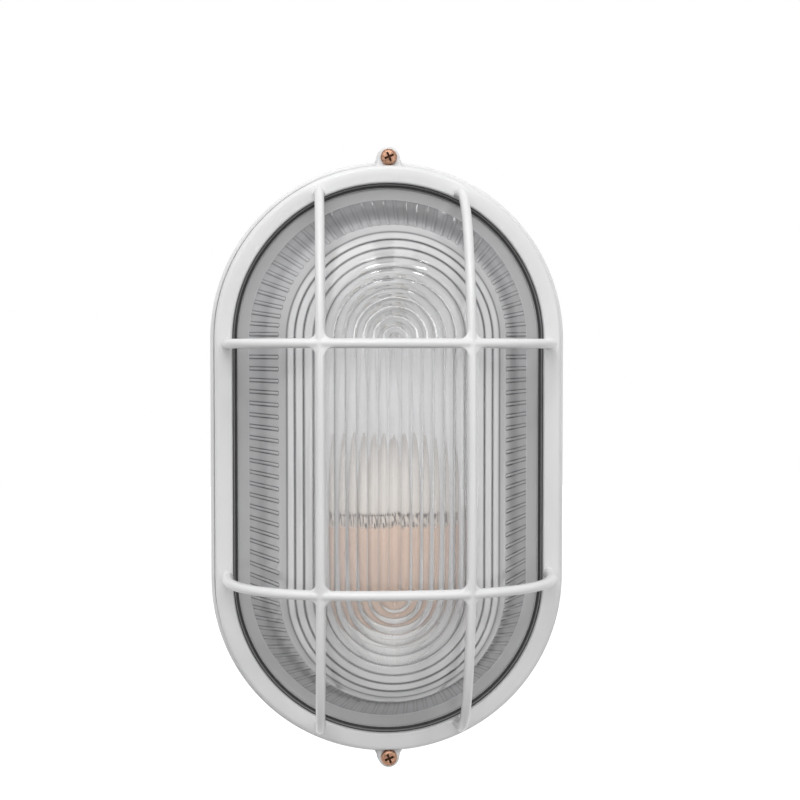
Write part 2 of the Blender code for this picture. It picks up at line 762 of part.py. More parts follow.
def ribbed_ring(mesh_data, columns, relief, offset, depth):
    ring = []
    for (normal_x, normal_z, height), raised in zip(columns, relief):
        out = offset + raised
        ring.append(mesh_data.verts.new((normal_x * out, -depth, height + normal_z * out)))
    return ring


def blend(mesh_data, coarse, fine, shared):
    """Join a plain ring to a ribbed one, one many-sided face for each plain step."""
    for index, vertex in enumerate(coarse):
        after = (index + 1) % len(coarse)
        first, last = shared[index], shared[after]
        if last <= first:
            last += len(fine)
        run = [fine[place % len(fine)] for place in range(first, last + 1)]
        mesh_data.faces.new([coarse[after], vertex] + run)


def glass_lens():
    mesh_data = bmesh.new()
    plain = track(GLASS_ARC_STEPS)
    columns, relief, shared = ribbed_columns()
    shoulder_depth = BEZEL_FRONT + SHOULDER_RISE
    lean = (GLASS_FOOT - GLASS_SHOULDER) / (shoulder_depth - FLANGE_FRONT)
    flange = oval_ring(mesh_data, plain, FLANGE_RADIUS, FLANGE_FRONT)
    foot = ribbed_ring(mesh_data, columns, relief, GLASS_FOOT, FLANGE_FRONT)
    rib_top = ribbed_ring(
        mesh_data, columns, relief, GLASS_SHOULDER + RIB_END * lean, shoulder_depth - RIB_END,
    )
    shoulder = ribbed_ring(mesh_data, columns, [0.0] * len(columns), GLASS_SHOULDER, shoulder_depth)
    blend(mesh_data, flange, foot, shared)
    skin(mesh_data, foot, rib_top)
    skin(mesh_data, rib_top, shoulder)
    rings = [oval_ring(mesh_data, plain, offset, depth) for offset, depth in dome_outline()]
    blend(mesh_data, rings[0], shoulder, shared)
    for first, second in zip(rings, rings[1:]):
        skin(mesh_data, first, second)
    mesh_data.faces.new(rings[-1])
    inner = [oval_ring(mesh_data, plain, offset, depth) for offset, depth in inner_outline()]
    mesh_data.faces.new(inner[0])
    for first, second in zip(inner, inner[1:]):
        skin(mesh_data, first, second)
    under = oval_ring(mesh_data, plain, FLANGE_RADIUS, FLANGE_BACK)
    skin(mesh_data, inner[-1], under)
    skin(mesh_data, under, flange)
    return finish("glass_lens", mesh_data, clear_glass(), smooth=math.radians(20))


def tray_outline():
    edge = TRAY_RADIUS - TRAY_SLOPE
    return (
        (edge - TRAY_SHEET, TRAY_BACK),
        (edge, TRAY_BACK + TRAY_BEND),
        (TRAY_RADIUS, TRAY_FRONT + TRAY_LIP),
        (TRAY_RADIUS - TRAY_SHEET, TRAY_FRONT + TRAY_LIP),
        (edge - TRAY_SHEET, TRAY_FRONT + TRAY_BEND),
        (edge - 2 * TRAY_SHEET, TRAY_FRONT),
    )


def reflector_tray():
    mesh_data = bmesh.new()
    oval_body(mesh_data, track(ARC_STEPS // 2), tray_outline(), closed=False)
    tray = finish("reflector_tray", mesh_data, white_sheet())
    cuts = bmesh.new()
    out = (0, -1, 0)
    back, front = TRAY_BACK - TRAY_SHEET, TRAY_FRONT + TRAY_SHEET
    small = SMALL_SHANK / 2 + HOLE_GAP
    for x, z in TRAY_SCREWS + (EARTH_POINT,) + bracket_screw_points() + ((0.0, BLOCK_HEIGHT),):
        cylinder(cuts, small, back, front, (x, 0, z), out, SCREW_SIDES)
    entry = ENTRY_RADIUS - TRAY_ENTRY_MARGIN
    cylinder(cuts, entry, back, front, (0, 0, ENTRY_HEIGHT), out, TURNED_SIDES // 2)
    combine(tray, tool("cut_tray_holes", cuts), "DIFFERENCE")
    return tray


def bracket_screw_points():
    height = LEG_FRONT + BRACKET_SCREW_SETBACK
    return ((-BRACKET_SCREW_X, height), (BRACKET_SCREW_X, height))


def screw(name, place, axis, shank, head, head_height, length, surface):
    """A pan-head screw: place is under the head, and axis points from the shank to the head."""
    outline = (
        (0.0, -length),
        (shank / 2 * SHANK_POINT, -length),
        (shank / 2, -length + shank * SHANK_TAPER),
        (shank / 2, 0.0),
        (head / 2, 0.0),
        (head / 2, head_height * HEAD_SIDE),
        (head / 2 * HEAD_CROWN, head_height * HEAD_SHOULDER),
        (0.0, head_height),
    )
    mesh_data = bmesh.new()
    turn(mesh_data, outline, place, axis, SCREW_SIDES)
    return finish(name, mesh_data, surface)


def small_screw(name, place, axis, length):
    return screw(name, place, axis, SMALL_SHANK, SMALL_HEAD, SMALL_HEAD_HEIGHT, length, zinc_steel())


def cover_screw(name, side):
    under_head = LUG_FRONT + SEAT_GAP
    place = (0, -under_head, side * SCREW_HEIGHT)
    made = screw(
        name, place, (0, -1, 0), COVER_SHANK, COVER_HEAD, COVER_HEAD_HEIGHT, COVER_LENGTH, yellow_zinc(),
    )
    cuts = bmesh.new()
    low = under_head + COVER_HEAD_HEIGHT - CROSS_DEPTH
    outline = []
    half_span, half_width = CROSS_SPAN / 2, CROSS_WIDTH / 2
    for quarter in range(4):
        facing = Vector((math.cos(math.pi / 2 * quarter), math.sin(math.pi / 2 * quarter)))
        left = Vector((-facing.y, facing.x))
        for along, off in ((half_span, -half_width), (half_span, half_width)):
            outline.append(facing * along + left * off)
        outline.append(facing * half_width + left * half_width)
    outline = [(point.x, side * SCREW_HEIGHT + point.y) for point in outline]
    prism(cuts, outline, low, low + 2 * COVER_HEAD_HEIGHT)
    combine(made, tool(f"cut_cross_{name}", cuts), "DIFFERENCE")
    return made


def tray_fasteners():
    for index, (x, z) in enumerate(TRAY_SCREWS, start=1):
        small_screw(f"tray_screw_{index}", (x, -(TRAY_FRONT + SEAT_GAP), z), (0, -1, 0), TRAY_SCREW_LENGTH)
    x, z = EARTH_POINT
    washer_back = TRAY_FRONT + SEAT_GAP
    washer_front = washer_back + WASHER_THICKNESS
    bore = SMALL_SHANK / 2 + HOLE_GAP
    mesh_data = bmesh.new()
    outline = (
        (bore, washer_back),
        (WASHER_RADIUS, washer_back),
        (WASHER_RADIUS, washer_front),
        (bore, washer_front),
        (bore, washer_back),
    )
    turn(mesh_data, outline, (x, 0, z), (0, -1, 0), SCREW_SIDES)
    finish("earth_washer", mesh_data, brass())
    head = (x, -(washer_front + SEAT_GAP), z)
    length = TRAY_SCREW_LENGTH + WASHER_THICKNESS
    screw("earth_screw", head, (0, -1, 0), SMALL_SHANK, SMALL_HEAD, SMALL_HEAD_HEIGHT, length, brass())


def led_lamp():
    """One sealed lamp: opal dome, dark vent band, tapering body, screw cap and tip."""
    dome_foot = LAMP_TOP - DIFFUSER_HEIGHT
    outline = [(0.0, LAMP_TOP)]
    for step in range(1, DOME_STEPS + 1):
        angle = math.pi / 2 * step / DOME_STEPS
        outline.append((LAMP_RADIUS * math.sin(angle), dome_foot + DIFFUSER_HEIGHT * math.cos(angle)))
    outline.append((LAMP_RADIUS - BAND_INSET, dome_foot - BAND_INSET))
    outline.append((LAMP_RADIUS - BAND_INSET, BODY_TOP + BAND_INSET))
    for step in range(BODY_STEPS + 1):
        part = step / BODY_STEPS
        swell = math.cos(math.pi / 2 * part) ** BODY_POWER
        radius = NECK_RADIUS + (LAMP_RADIUS - NECK_RADIUS) * swell
        outline.append((radius, BODY_TOP - BODY_HEIGHT * part))
    outline.append((CAP_RADIUS, NECK_BOTTOM))
    outline.append((CAP_RADIUS, CAP_BOTTOM + CAP_BEVEL))
    outline.append((CAP_RADIUS - CAP_BEVEL, CAP_BOTTOM))
    outline.append((TIP_RADIUS, TIP_BOTTOM + TIP_BEVEL))
    outline.append((TIP_RADIUS - TIP_BEVEL, TIP_BOTTOM))
    outline.append((0.0, TIP_BOTTOM))
    mesh_data = bmesh.new()
    turn(mesh_data, outline, (0, -LAMP_DEPTH, 0), (0, 0, 1), TURNED_SIDES)
    return finish("led_lamp", mesh_data, lamp_plastic())


def lampholder_body():
    waist = HOLDER_TOP - HOLDER_COLLAR_HEIGHT
    outline = (
        (0.0, HOLDER_BOTTOM),
        (HOLDER_RADIUS - EDGE_ROUND, HOLDER_BOTTOM),
        (HOLDER_RADIUS, HOLDER_BOTTOM + EDGE_ROUND),
        (HOLDER_RADIUS, waist),
        (HOLDER_COLLAR, waist + EDGE_ROUND),
        (HOLDER_COLLAR, HOLDER_TOP - EDGE_ROUND),
        (HOLDER_COLLAR - EDGE_ROUND, HOLDER_TOP),
        (BORE_RADIUS, HOLDER_TOP),
        (BORE_RADIUS, BORE_BOTTOM),
        (0.0, BORE_BOTTOM),
    )
    mesh_data = bmesh.new()
    turn(mesh_data, outline, (0, -LAMP_DEPTH, 0), (0, 0, 1), TURNED_SIDES)
    body = finish("lampholder_body", mesh_data, porcelain())
    cuts = bmesh.new()
    size_x, size_y, size_z = TERMINAL_SLOT
    for side in (1, -1):
        low = (side * TERMINAL_X - size_x / 2, -LAMP_DEPTH - size_y / 2, TERMINAL_Z - size_z)
        high = (side * TERMINAL_X + size_x / 2, -LAMP_DEPTH + size_y / 2, TERMINAL_Z + size_z / 2)
        block(cuts, low, high)
        hole = SMALL_SHANK / 2 + HOLE_GAP
        start, end = HOLDER_BOTTOM - SEAT_GAP, HOLDER_BOTTOM + HOLDER_SCREW_LENGTH
        centre = (0, holder_screw_y(side), 0)
        cylinder(cuts, hole, start, end, centre, (0, 0, 1), SCREW_SIDES)
    combine(body, tool("cut_holder", cuts), "DIFFERENCE")
    return body


def holder_screw_y(side):
    return -LAMP_DEPTH + side * HOLDER_SCREW_SPREAD


def lampholder_metal():
    mesh_data = bmesh.new()
    inner = SHELL_RADIUS - SHELL_WALL
    top = HOLDER_TOP - EDGE_ROUND
    outline = (
        (inner, top - SHELL_HEIGHT),
        (SHELL_RADIUS, top - SHELL_HEIGHT),
        (SHELL_RADIUS, top),
        (inner, top),
        (inner, top - SHELL_HEIGHT),
    )
    turn(mesh_data, outline, (0, -LAMP_DEPTH, 0), (0, 0, 1), TURNED_SIDES)
    finish("lampholder_shell", mesh_data, brass())
    mesh_data = bmesh.new()
    start = BORE_BOTTOM + SEAT_GAP
    cylinder(
        mesh_data, CONTACT_RADIUS, start, start + CONTACT_SHEET, (0, -LAMP_DEPTH, 0), (0, 0, 1), SCREW_SIDES,
    )
    finish("lampholder_contact", mesh_data, brass())


def holder_terminals():
    size_x, size_y, size_z = TERMINAL_SIZE
    for side, name in ((1, "right"), (-1, "left")):
        centre_x = side * TERMINAL_X
        top = TERMINAL_Z + TERMINAL_SLOT[2] / 2 - SEAT_GAP
        mesh_data = bmesh.new()
        low = (centre_x - size_x / 2, -LAMP_DEPTH - size_y / 2, top - size_z)
        high = (centre_x + size_x / 2, -LAMP_DEPTH + size_y / 2, top)
        block(mesh_data, low, high)
        tab = finish(f"holder_terminal_{name}", mesh_data, brass())
        cuts = bmesh.new()
        hole = CLAMP_SHANK / 2 + HOLE_GAP
        front = LAMP_DEPTH + size_y / 2
        middle = top - size_z / 2
        cylinder(
            cuts, hole, front - TERMINAL_SCREW_LENGTH - SEAT_GAP, front + SEAT_GAP,
            (centre_x, 0, middle), (0, -1, 0), SCREW_SIDES,
        )
        combine(tab, tool(f"cut_terminal_{name}", cuts), "DIFFERENCE")
        screw(
            f"holder_terminal_screw_{name}", (centre_x, -(front + SEAT_GAP), middle), (0, -1, 0),
            CLAMP_SHANK, CLAMP_HEAD, CLAMP_HEAD_HEIGHT * 0.6, TERMINAL_SCREW_LENGTH, brass(),
        )


def holder_bracket():
    """A bent strip: its foot lies on the tray and its leg stands behind the lampholder."""
    half = BRACKET_WIDTH / 2
    top = LAMP_DEPTH + BRACKET_RISE
    outline = (
        (BRACKET_BACK, LEG_BACK),
        (BRACKET_BACK, LEG_FRONT + BRACKET_FOOT),
        (BRACKET_FRONT, LEG_FRONT + BRACKET_FOOT),
        (BRACKET_FRONT, LEG_FRONT),
        (top, LEG_FRONT),
        (top, LEG_BACK),
    )
    mesh_data = bmesh.new()
    left = [mesh_data.verts.new((-half, -depth, z)) for depth, z in outline]
    right = [mesh_data.verts.new((half, -depth, z)) for depth, z in outline]
    skin(mesh_data, left, right)
    mesh_data.faces.new(left)
    mesh_data.faces.new(right)
    bracket = finish("holder_bracket", mesh_data, zinc_steel())
    cuts = bmesh.new()
    hole = SMALL_SHANK / 2 + HOLE_GAP
    for x, z in bracket_screw_points():
        back, front = BRACKET_BACK - SEAT_GAP, BRACKET_FRONT + SEAT_GAP
        cylinder(cuts, hole, back, front, (x, 0, z), (0, -1, 0), SCREW_SIDES)
    for side in (1, -1):
        centre = (0, holder_screw_y(side), 0)
        cylinder(cuts, hole, LEG_BACK - SEAT_GAP, LEG_FRONT + SEAT_GAP, centre, (0, 0, 1), SCREW_SIDES)
    combine(bracket, tool("cut_bracket", cuts), "DIFFERENCE")
    return bracket


def bracket_fasteners():
    for (x, z), name in zip(bracket_screw_points(), ("left", "right")):
        place = (x, -(BRACKET_FRONT + SEAT_GAP), z)
        small_screw(f"bracket_screw_{name}", place, (0, -1, 0), BRACKET_SCREW_LENGTH)
    for side, name in ((1, "rear"), (-1, "front")):
        place = (0, holder_screw_y(side), LEG_BACK - SEAT_GAP)
        small_screw(f"holder_screw_{name}", place, (0, 0, -1), HOLDER_SCREW_LENGTH)


def terminal_block():
    size_x, _, size_z = BLOCK_SIZE
    mesh_data = bmesh.new()
    low = (-size_x / 2, -BLOCK_FRONT, BLOCK_HEIGHT - size_z / 2)
    high = (size_x / 2, -BLOCK_BACK, BLOCK_HEIGHT + size_z / 2)
    block(mesh_data, low, high)
    bmesh.ops.bevel(mesh_data, geom=mesh_data.edges, offset=EDGE_ROUND / 2, segments=1, affect="EDGES")
    body = finish("terminal_block", mesh_data, porcelain())
    cuts = bmesh.new()
    out = (0, -1, 0)
    barrel = BARREL_RADIUS + HOLE_GAP
    for side in (1, -1):
        x = side * BLOCK_POLE_X
        run = size_z / 2 + SEAT_GAP
        centre = (x, -(BLOCK_BACK + BARREL_DEPTH), BLOCK_HEIGHT)
        cylinder(cuts, barrel, -run, run, centre, (0, 0, 1), TURNED_SIDES // 2)
    body_cuts = tool("cut_block_bores", cuts)
    combine(body, body_cuts, "DIFFERENCE")
    shafts = bmesh.new()
    for side in (1, -1):
        for end in (1, -1):
            place = (side * BLOCK_POLE_X, 0, BLOCK_HEIGHT + end * CLAMP_OFFSET)
            cylinder(
                shafts, CLAMP_HEAD / 2 + HOLE_GAP, BLOCK_BACK + BARREL_DEPTH, BLOCK_FRONT + SEAT_GAP,
                place, out, SCREW_SIDES,
            )
    combine(body, tool("cut_block_shafts", shafts), "DIFFERENCE")
    fixing = bmesh.new()
    outline = (
        (0.0, BLOCK_BACK - SEAT_GAP),
        (SMALL_SHANK / 2 + HOLE_GAP, BLOCK_BACK - SEAT_GAP),
        (SMALL_SHANK / 2 + HOLE_GAP, BLOCK_FRONT - BLOCK_HEAD_SINK),
        (SMALL_HEAD / 2 + HOLE_GAP, BLOCK_FRONT - BLOCK_HEAD_SINK),
        (SMALL_HEAD / 2 + HOLE_GAP, BLOCK_FRONT + SEAT_GAP),
        (0.0, BLOCK_FRONT + SEAT_GAP),
    )
    turn(fixing, outline, (0, 0, BLOCK_HEIGHT), out, SCREW_SIDES)
    combine(body, tool("cut_block_fixing", fixing), "DIFFERENCE")
    return body


def block_metal():
    """Two brass barrels with a clamp screw at each end, and the screw that holds the block."""
    size_z = BLOCK_SIZE[2]
    out = (0, -1, 0)
    for side, name in ((-1, "live"), (1, "neutral")):
        centre = (side * BLOCK_POLE_X, -(BLOCK_BACK + BARREL_DEPTH), BLOCK_HEIGHT)
        half = size_z / 2 - EDGE_ROUND
        outline = (
            (BARREL_BORE, -half),
            (BARREL_RADIUS, -half),
            (BARREL_RADIUS, half),
            (BARREL_BORE, half),
            (BARREL_BORE, -half),
        )
        mesh_data = bmesh.new()
        turn(mesh_data, outline, centre, (0, 0, 1), TURNED_SIDES // 2)
        barrel = finish(f"barrel_{name}", mesh_data, brass())
        cuts = bmesh.new()
        for end in (1, -1):
            place = (side * BLOCK_POLE_X, 0, BLOCK_HEIGHT + end * CLAMP_OFFSET)
            start = BLOCK_BACK + BARREL_DEPTH
            cylinder(cuts, CLAMP_SHANK / 2 + HOLE_GAP, start, BLOCK_FRONT, place, out, SCREW_SIDES)
        combine(barrel, tool(f"cut_barrel_{name}", cuts), "DIFFERENCE")
        for end, where in ((1, "supply"), (-1, "lamp")):
            under_head = BLOCK_BACK + BARREL_DEPTH + BARREL_RADIUS + SEAT_GAP
            place = (side * BLOCK_POLE_X, -under_head, BLOCK_HEIGHT + end * CLAMP_OFFSET)
            screw(
                f"clamp_screw_{name}_{where}", place, out, CLAMP_SHANK, CLAMP_HEAD,
                CLAMP_HEAD_HEIGHT, BARREL_RADIUS - BARREL_BORE + SEAT_GAP * 2, brass(),
            )
    head = (0, -(BLOCK_FRONT - BLOCK_HEAD_SINK + SEAT_GAP), BLOCK_HEIGHT)
    depth_under = BLOCK_FRONT - BLOCK_HEAD_SINK + SEAT_GAP - TRAY_BACK
    small_screw("block_screw", head, out, depth_under + TRAY_SHEET)


def lead_route(side):
    """Hand-set points from the block's barrel, down beside the lamp, to the lampholder's terminal."""
    barrel_x = side * BLOCK_POLE_X
    barrel_depth = BLOCK_BACK + BARREL_DEPTH
    block_end = BLOCK_HEIGHT - BLOCK_SIZE[2] / 2
    floor = TRAY_FRONT + LEAD_DIAMETER
    drop = (block_end - TERMINAL_Z) / (len(LEAD_PATH) + 1)
    route = [
        (barrel_x, barrel_depth, block_end + EDGE_ROUND - 2 * SEAT_GAP),
        (barrel_x, barrel_depth, block_end - LEAD_BEND),
    ]
    for index, (across, lift) in enumerate(LEAD_PATH, start=1):
        route.append((side * across, floor + lift, block_end - drop * index))
    rim = HOLDER_RADIUS + LEAD_BEND / 2
    terminal = TERMINAL_X + TERMINAL_SIZE[0] / 2 + 2 * SEAT_GAP
    route.append((side * (rim + LEAD_BEND), LAMP_DEPTH - 2 * LEAD_BEND, TERMINAL_Z + LEAD_BEND / 2))
    route.append((side * rim, LAMP_DEPTH, TERMINAL_Z))
    route.append((side * terminal, LAMP_DEPTH, TERMINAL_Z))
    return [Vector((x, -depth, z)) for x, depth, z in route]


def lead(name, side):
    """A sheathed wire between the block and the lampholder."""
    curve = bpy.data.curves.new(name, "CURVE")
    curve.dimensions = "3D"
    curve.bevel_depth = LEAD_DIAMETER / 2
    curve.bevel_resolution = 2
    curve.use_fill_caps = True
    points = smooth_route(lead_route(side), LEAD_STEPS)
    spline = curve.splines.new("POLY")
    spline.points.add(len(points) - 1)
    for place, point in zip(spline.points, points):
        place.co = (*point, 1.0)
    curve.materials.append(lead_sheath())
    thing = bpy.data.objects.new(name, curve)
    bpy.context.scene.collection.objects.link(thing)
    return thing


def smooth_route(points, steps):
    """Even stations along a Catmull-Rom curve through the points."""
    ends = [2 * points[0] - points[1]] + points + [2 * points[-1] - points[-2]]
    dense = []
    for index in range(1, len(ends) - 2):
        before, start, end, after = ends[index - 1:index + 3]
        for step in range(ROUTE_STEPS):
            part = step / ROUTE_STEPS
            dense.append(0.5 * (
                2 * start + (end - before) * part
                + (2 * before - 5 * start + 4 * end - after) * part ** 2
                + (3 * start - before - 3 * end + after) * part ** 3
            ))
    dense.append(points[-1])
    lengths = [0.0]
    for first, second in zip(dense, dense[1:]):
        lengths.append(lengths[-1] + (second - first).length)
    stations = []
    index = 0
    for step in range(steps + 1):
        wanted = lengths[-1] * step / steps
        while index < len(lengths) - 2 and lengths[index + 1] < wanted:
            index += 1
        span = lengths[index + 1] - lengths[index]
        stations.append(dense[index].lerp(dense[index + 1], (wanted - lengths[index]) / span))
    return stations


def build():
    clear_scene()
    base_housing()
    guard_frame()
    glass_lens()
    lens_gasket()
    reflector_tray()
    tray_fasteners()
    led_lamp()
    lampholder_body()
    lampholder_metal()
    holder_terminals()
    holder_bracket()
    bracket_fasteners()
    terminal_block()
    block_metal()
    lead("live_lead", -1)
    lead("neutral_lead", 1)
    cover_screw("cover_screw_top", 1)
    cover_screw("cover_screw_bottom", -1)
    grommet("cable_grommet", ENTRY_RADIUS, ENTRY_FLANGE, ENTRY_HEIGHT)
    grommet("fixing_plug_upper", FIXING_RADIUS, FIXING_FLANGE, FIXING_HEIGHT)
    grommet("fixing_plug_lower", FIXING_RADIUS, FIXING_FLANGE, -FIXING_HEIGHT)


build()
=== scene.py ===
import json
import math

import bmesh
import bpy
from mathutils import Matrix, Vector


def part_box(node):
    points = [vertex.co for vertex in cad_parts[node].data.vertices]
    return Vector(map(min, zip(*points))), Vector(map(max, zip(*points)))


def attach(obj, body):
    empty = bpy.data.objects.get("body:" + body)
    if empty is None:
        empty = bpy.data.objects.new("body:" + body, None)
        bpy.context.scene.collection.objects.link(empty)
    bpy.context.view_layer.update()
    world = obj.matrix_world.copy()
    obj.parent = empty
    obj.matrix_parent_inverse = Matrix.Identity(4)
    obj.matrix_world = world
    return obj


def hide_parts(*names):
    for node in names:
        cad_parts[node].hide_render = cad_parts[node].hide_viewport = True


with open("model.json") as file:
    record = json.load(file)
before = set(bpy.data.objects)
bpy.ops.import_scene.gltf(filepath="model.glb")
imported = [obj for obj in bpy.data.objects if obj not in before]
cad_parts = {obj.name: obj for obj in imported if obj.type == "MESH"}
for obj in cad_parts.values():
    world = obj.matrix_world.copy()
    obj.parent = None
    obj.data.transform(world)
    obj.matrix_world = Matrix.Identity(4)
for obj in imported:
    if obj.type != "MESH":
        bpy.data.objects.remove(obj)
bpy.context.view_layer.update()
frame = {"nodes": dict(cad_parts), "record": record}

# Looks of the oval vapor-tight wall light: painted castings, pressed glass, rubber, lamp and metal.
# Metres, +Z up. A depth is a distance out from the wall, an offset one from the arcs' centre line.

# Oval plan, read from the frame
BEZEL_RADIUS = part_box("guard_frame")[1].x
RIM_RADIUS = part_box("base_housing")[1].x
GASKET_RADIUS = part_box("lens_gasket")[1].x
FLANGE_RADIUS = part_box("glass_lens")[1].x
ARC_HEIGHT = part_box("lens_gasket")[1].z - GASKET_RADIUS
GASKET_BACK = -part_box("lens_gasket")[1].y
GASKET_FRONT = -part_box("lens_gasket")[0].y
FLANGE_BACK = -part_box("glass_lens")[1].y
GLASS_TOP = -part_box("glass_lens")[0].y
CAGE_TOP = -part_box("guard_frame")[0].y
BEZEL_BACK = -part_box("guard_frame")[1].y
BASE_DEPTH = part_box("base_housing")[1].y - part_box("base_housing")[0].y
SCREW_HEIGHT = (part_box("cover_screw_top")[0].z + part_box("cover_screw_top")[1].z) / 2
SEAT_GAP = BEZEL_BACK - BASE_DEPTH

# Rounding of edges
TIGHT_EDGE = 0.0002
FINE_EDGE = 0.0003
SOFT_EDGE = 0.0009
BEZEL_EDGE = 0.002
CROWN_EDGE = 0.003
RIM_ROOT_EDGE = 0.0025
BASE_EDGE = 0.0024

# Castings
OPENING_RADIUS = 0.0745
BEZEL_FRONT = 0.052
BEZEL_LIP = 0.003            # depth of the bezel's inner edge
FACE_CROWN = 0.0003          # fall of the bezel's face from its middle to the opening
CHANNEL_RADIUS = GASKET_RADIUS + SEAT_GAP
LUG_RADIUS = 0.0051
LUG_MARGIN = 0.0006          # how far the base's lugs reach round the bezel's
LUG_EDGE = 0.0006
LUG_FLARE = 0.0014           # how much wider a lug is at its root, each side
LUG_FRONT = 0.048
LUG_BACK = 0.0347
SHANK_HOLE = 0.0022
RIM_THICKNESS = 0.005
BASE_WALL = 0.0034
BASE_FLOOR = 0.003
LEDGE_DEPTH = 0.0418         # step that the gasket lies on
HOUSING_FRONT = 0.0722       # inside of the base's wall, at the ledge
HOUSING_BACK = 0.0698        # and at the floor
JOINT_GROOVE = 0.0008        # shadow line between bezel and base
JOINT_DEPTH = 0.0016

# Cage bars
BAR_X = 0.0333
BAR_Z = 0.0554
BAR_WIDTH = 0.0045
BAR_DEPTH = 0.0056
BAR_FOOT = 0.0767
BAR_RISE = CAGE_TOP - BEZEL_FRONT - BAR_DEPTH / 2
UPRIGHT_SPAN = ARC_HEIGHT + math.sqrt(BAR_FOOT ** 2 - BAR_X ** 2)
ARCH_POWER = 2.5
FOOT_FLARE = 0.3
FOOT_FIN = 2.2               # how sharply a foot narrows to its outer end
FLARE_HEIGHT = 0.0032
FILLET_RADIUS = 0.0036
FILLET_THICKNESS = 0.004
CAST_VOXEL = 0.00055
SOFTEN_SHARE = 0.5
SOFTEN_ROUNDS = 3

# Gasket
LIP_OFFSET = 0.0722
LIP_THICKNESS = 0.0016
BEAD_INSET = 0.0007
BEAD_GROOVE = 0.0008
# Painted highlight on the gasket: a pale line along the bead's crest and a pale inner lip
HIGHLIGHT_OFFSET = 0.07385       # pale line along the bead
HIGHLIGHT_REACH = 0.0005
CREST_HIGHLIGHT = 0.35

# Glass
GLASS_FOOT = 0.0668
GLASS_SHOULDER = 0.0516
SHOULDER_DEPTH = 0.0815
FLANGE_THICKNESS = 0.0028
GLASS_THICKNESS = 0.0042
FOOT_DEPTH = FLANGE_BACK + FLANGE_THICKNESS
WALL_SLOPE = (GLASS_FOOT - GLASS_SHOULDER) / (SHOULDER_DEPTH - FOOT_DEPTH)
DOME_DROP = 0.0114           # fall of the dome from its middle to DROP_RADIUS
DROP_RADIUS = 0.048
DOME_MIDDLE = 0.05           # flat of the dome's middle, as a share of the first ring
FIRST_RING = 0.00276
RING_PITCH = 0.00485
RING_COUNT = 11
RING_HALF_WIDTH = 0.0005
RING_RELIEF = 0.00015
RING_SHARES = (1.0, 0.6, 0.25, 0.0, -0.25, -0.6, -1.0)
# Darkness of each ring's painted shade line, outer ring first; it also widens the groove
RING_LINES = (0.65, 1.0, 1.0, 0.9, 0.75, 0.6, 0.5, 0.42, 0.36, 0.3, 0.25)
FLUTE_HOLLOW = 0.0012
FLUTE_REACH = 0.030          # the flutes fade out beyond this offset
FLUTE_FADE = 0.010
FLUTE_EASE = 0.4             # how much shallower they are at the top and bottom
ARC_RIBS = 40
SIDE_RIBS = 21
RIB_HALF_WIDTH = 0.0008
RIB_RELIEF = 0.0003
# How far the ribs' painted shade lines fade at the top and bottom, and their relief at the bottom
RIB_FADE = 0.75
# Across a rib: share of its half width, share of its relief
RIB_PROFILE = (
    (-1.6, 0.0), (-1.0, 0.1), (-0.45, 0.8), (0.0, 1.0), (0.45, 0.8), (1.0, 0.1), (1.6, 0.0),
)
RIB_END = 0.0017             # length of a rib's end below the shoulder
RIB_END_WIDTH = 0.35
RIB_CLOSE = 0.5              # where in its end a rib closes
WALL_PARTS = (0.03, 0.25, 0.5, 0.75, 1.0)
END_PARTS = (0.15, 0.3, 0.4, 0.5, 0.7, 1.0)

# Look of the glass, by its haze
DOME_HAZE = 0.0
RING_HAZE = 0.12
# Painted shade: a dark grey level that the wall's upward faces are drawn towards
TOP_SHADE_HAZE = 0.25
WALL_HAZE = 0.35
SHOULDER_HAZE = 0.7
FLANGE_HAZE = 1.0
HAZE_AT_ENDS = 0.6           # share of the way from wall to shoulder haze where the rib ends begin
# The wall's upper part is darkened towards the top haze: painted shade
SKY_SHARE = 0.85             # how far the wall's upper part goes to the top haze
RING_HAZE_POWER = 3
RING_HAZE_GAIN = 1.6
# Haze, colour, share of light that goes through
GLASS_TONES = (
    (DOME_HAZE, (0.985, 0.985, 0.99), 0.95),
    (RING_HAZE, (0.95, 0.95, 0.96), 0.5),
    # Painted shade: the dark tone of the wall's upward faces
    (TOP_SHADE_HAZE, (0.19, 0.19, 0.195), 0.25),
    # The wall's mid grey is partly the glass's milkiness and partly painted shade, for the shaded
    # housing seen through it
    (WALL_HAZE, (0.60, 0.60, 0.615), 0.25),
    (SHOULDER_HAZE, (0.68, 0.68, 0.69), 0.3),
    (FLANGE_HAZE, (0.48, 0.48, 0.485), 0.05),
)
# Painted shade: the near-black the glass takes along its ring and rib lines
LINE_SHADE_TONE = (0.05, 0.05, 0.055)
LIGHT_PASSED = 0.92          # share of the lamps' light let in by the dome
WALL_LIGHT_PASSED = 0.68     # and by the wall

# Lamp
LAMP_LOW, LAMP_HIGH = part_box("led_lamp")
LAMP_RADIUS = LAMP_HIGH.x
LAMP_DEPTH = -(LAMP_LOW.y + LAMP_HIGH.y) / 2
LAMP_TOP = LAMP_HIGH.z
DIFFUSER_HEIGHT = 0.037
BAND_HEIGHT = 0.0065
BAND_RECESS = 0.0008
BODY_HEIGHT = 0.046
BAND_TOP = LAMP_TOP - DIFFUSER_HEIGHT
BODY_TOP = BAND_TOP - BAND_HEIGHT
NECK_HEIGHT = BODY_TOP - BODY_HEIGHT
NECK_RADIUS = 0.0155
BODY_SWELL = 0.8             # below 1, the body keeps its width further down
CAP_RADIUS = 0.0132
CAP_HEIGHT = 0.02
CAP_THREADS = 6
THREAD_STEPS = 4
THREAD_DEPTH = 0.0006
THREADED_SHARE = 0.85
CAP_END_SHARE = 0.8
CONTACT_RADIUS = 0.0045
CONTACT_HEIGHT = 0.002
CAP_TONE = (0.45, 0.42, 0.38)
PEACH_TONE = (0.57, 0.395, 0.295)
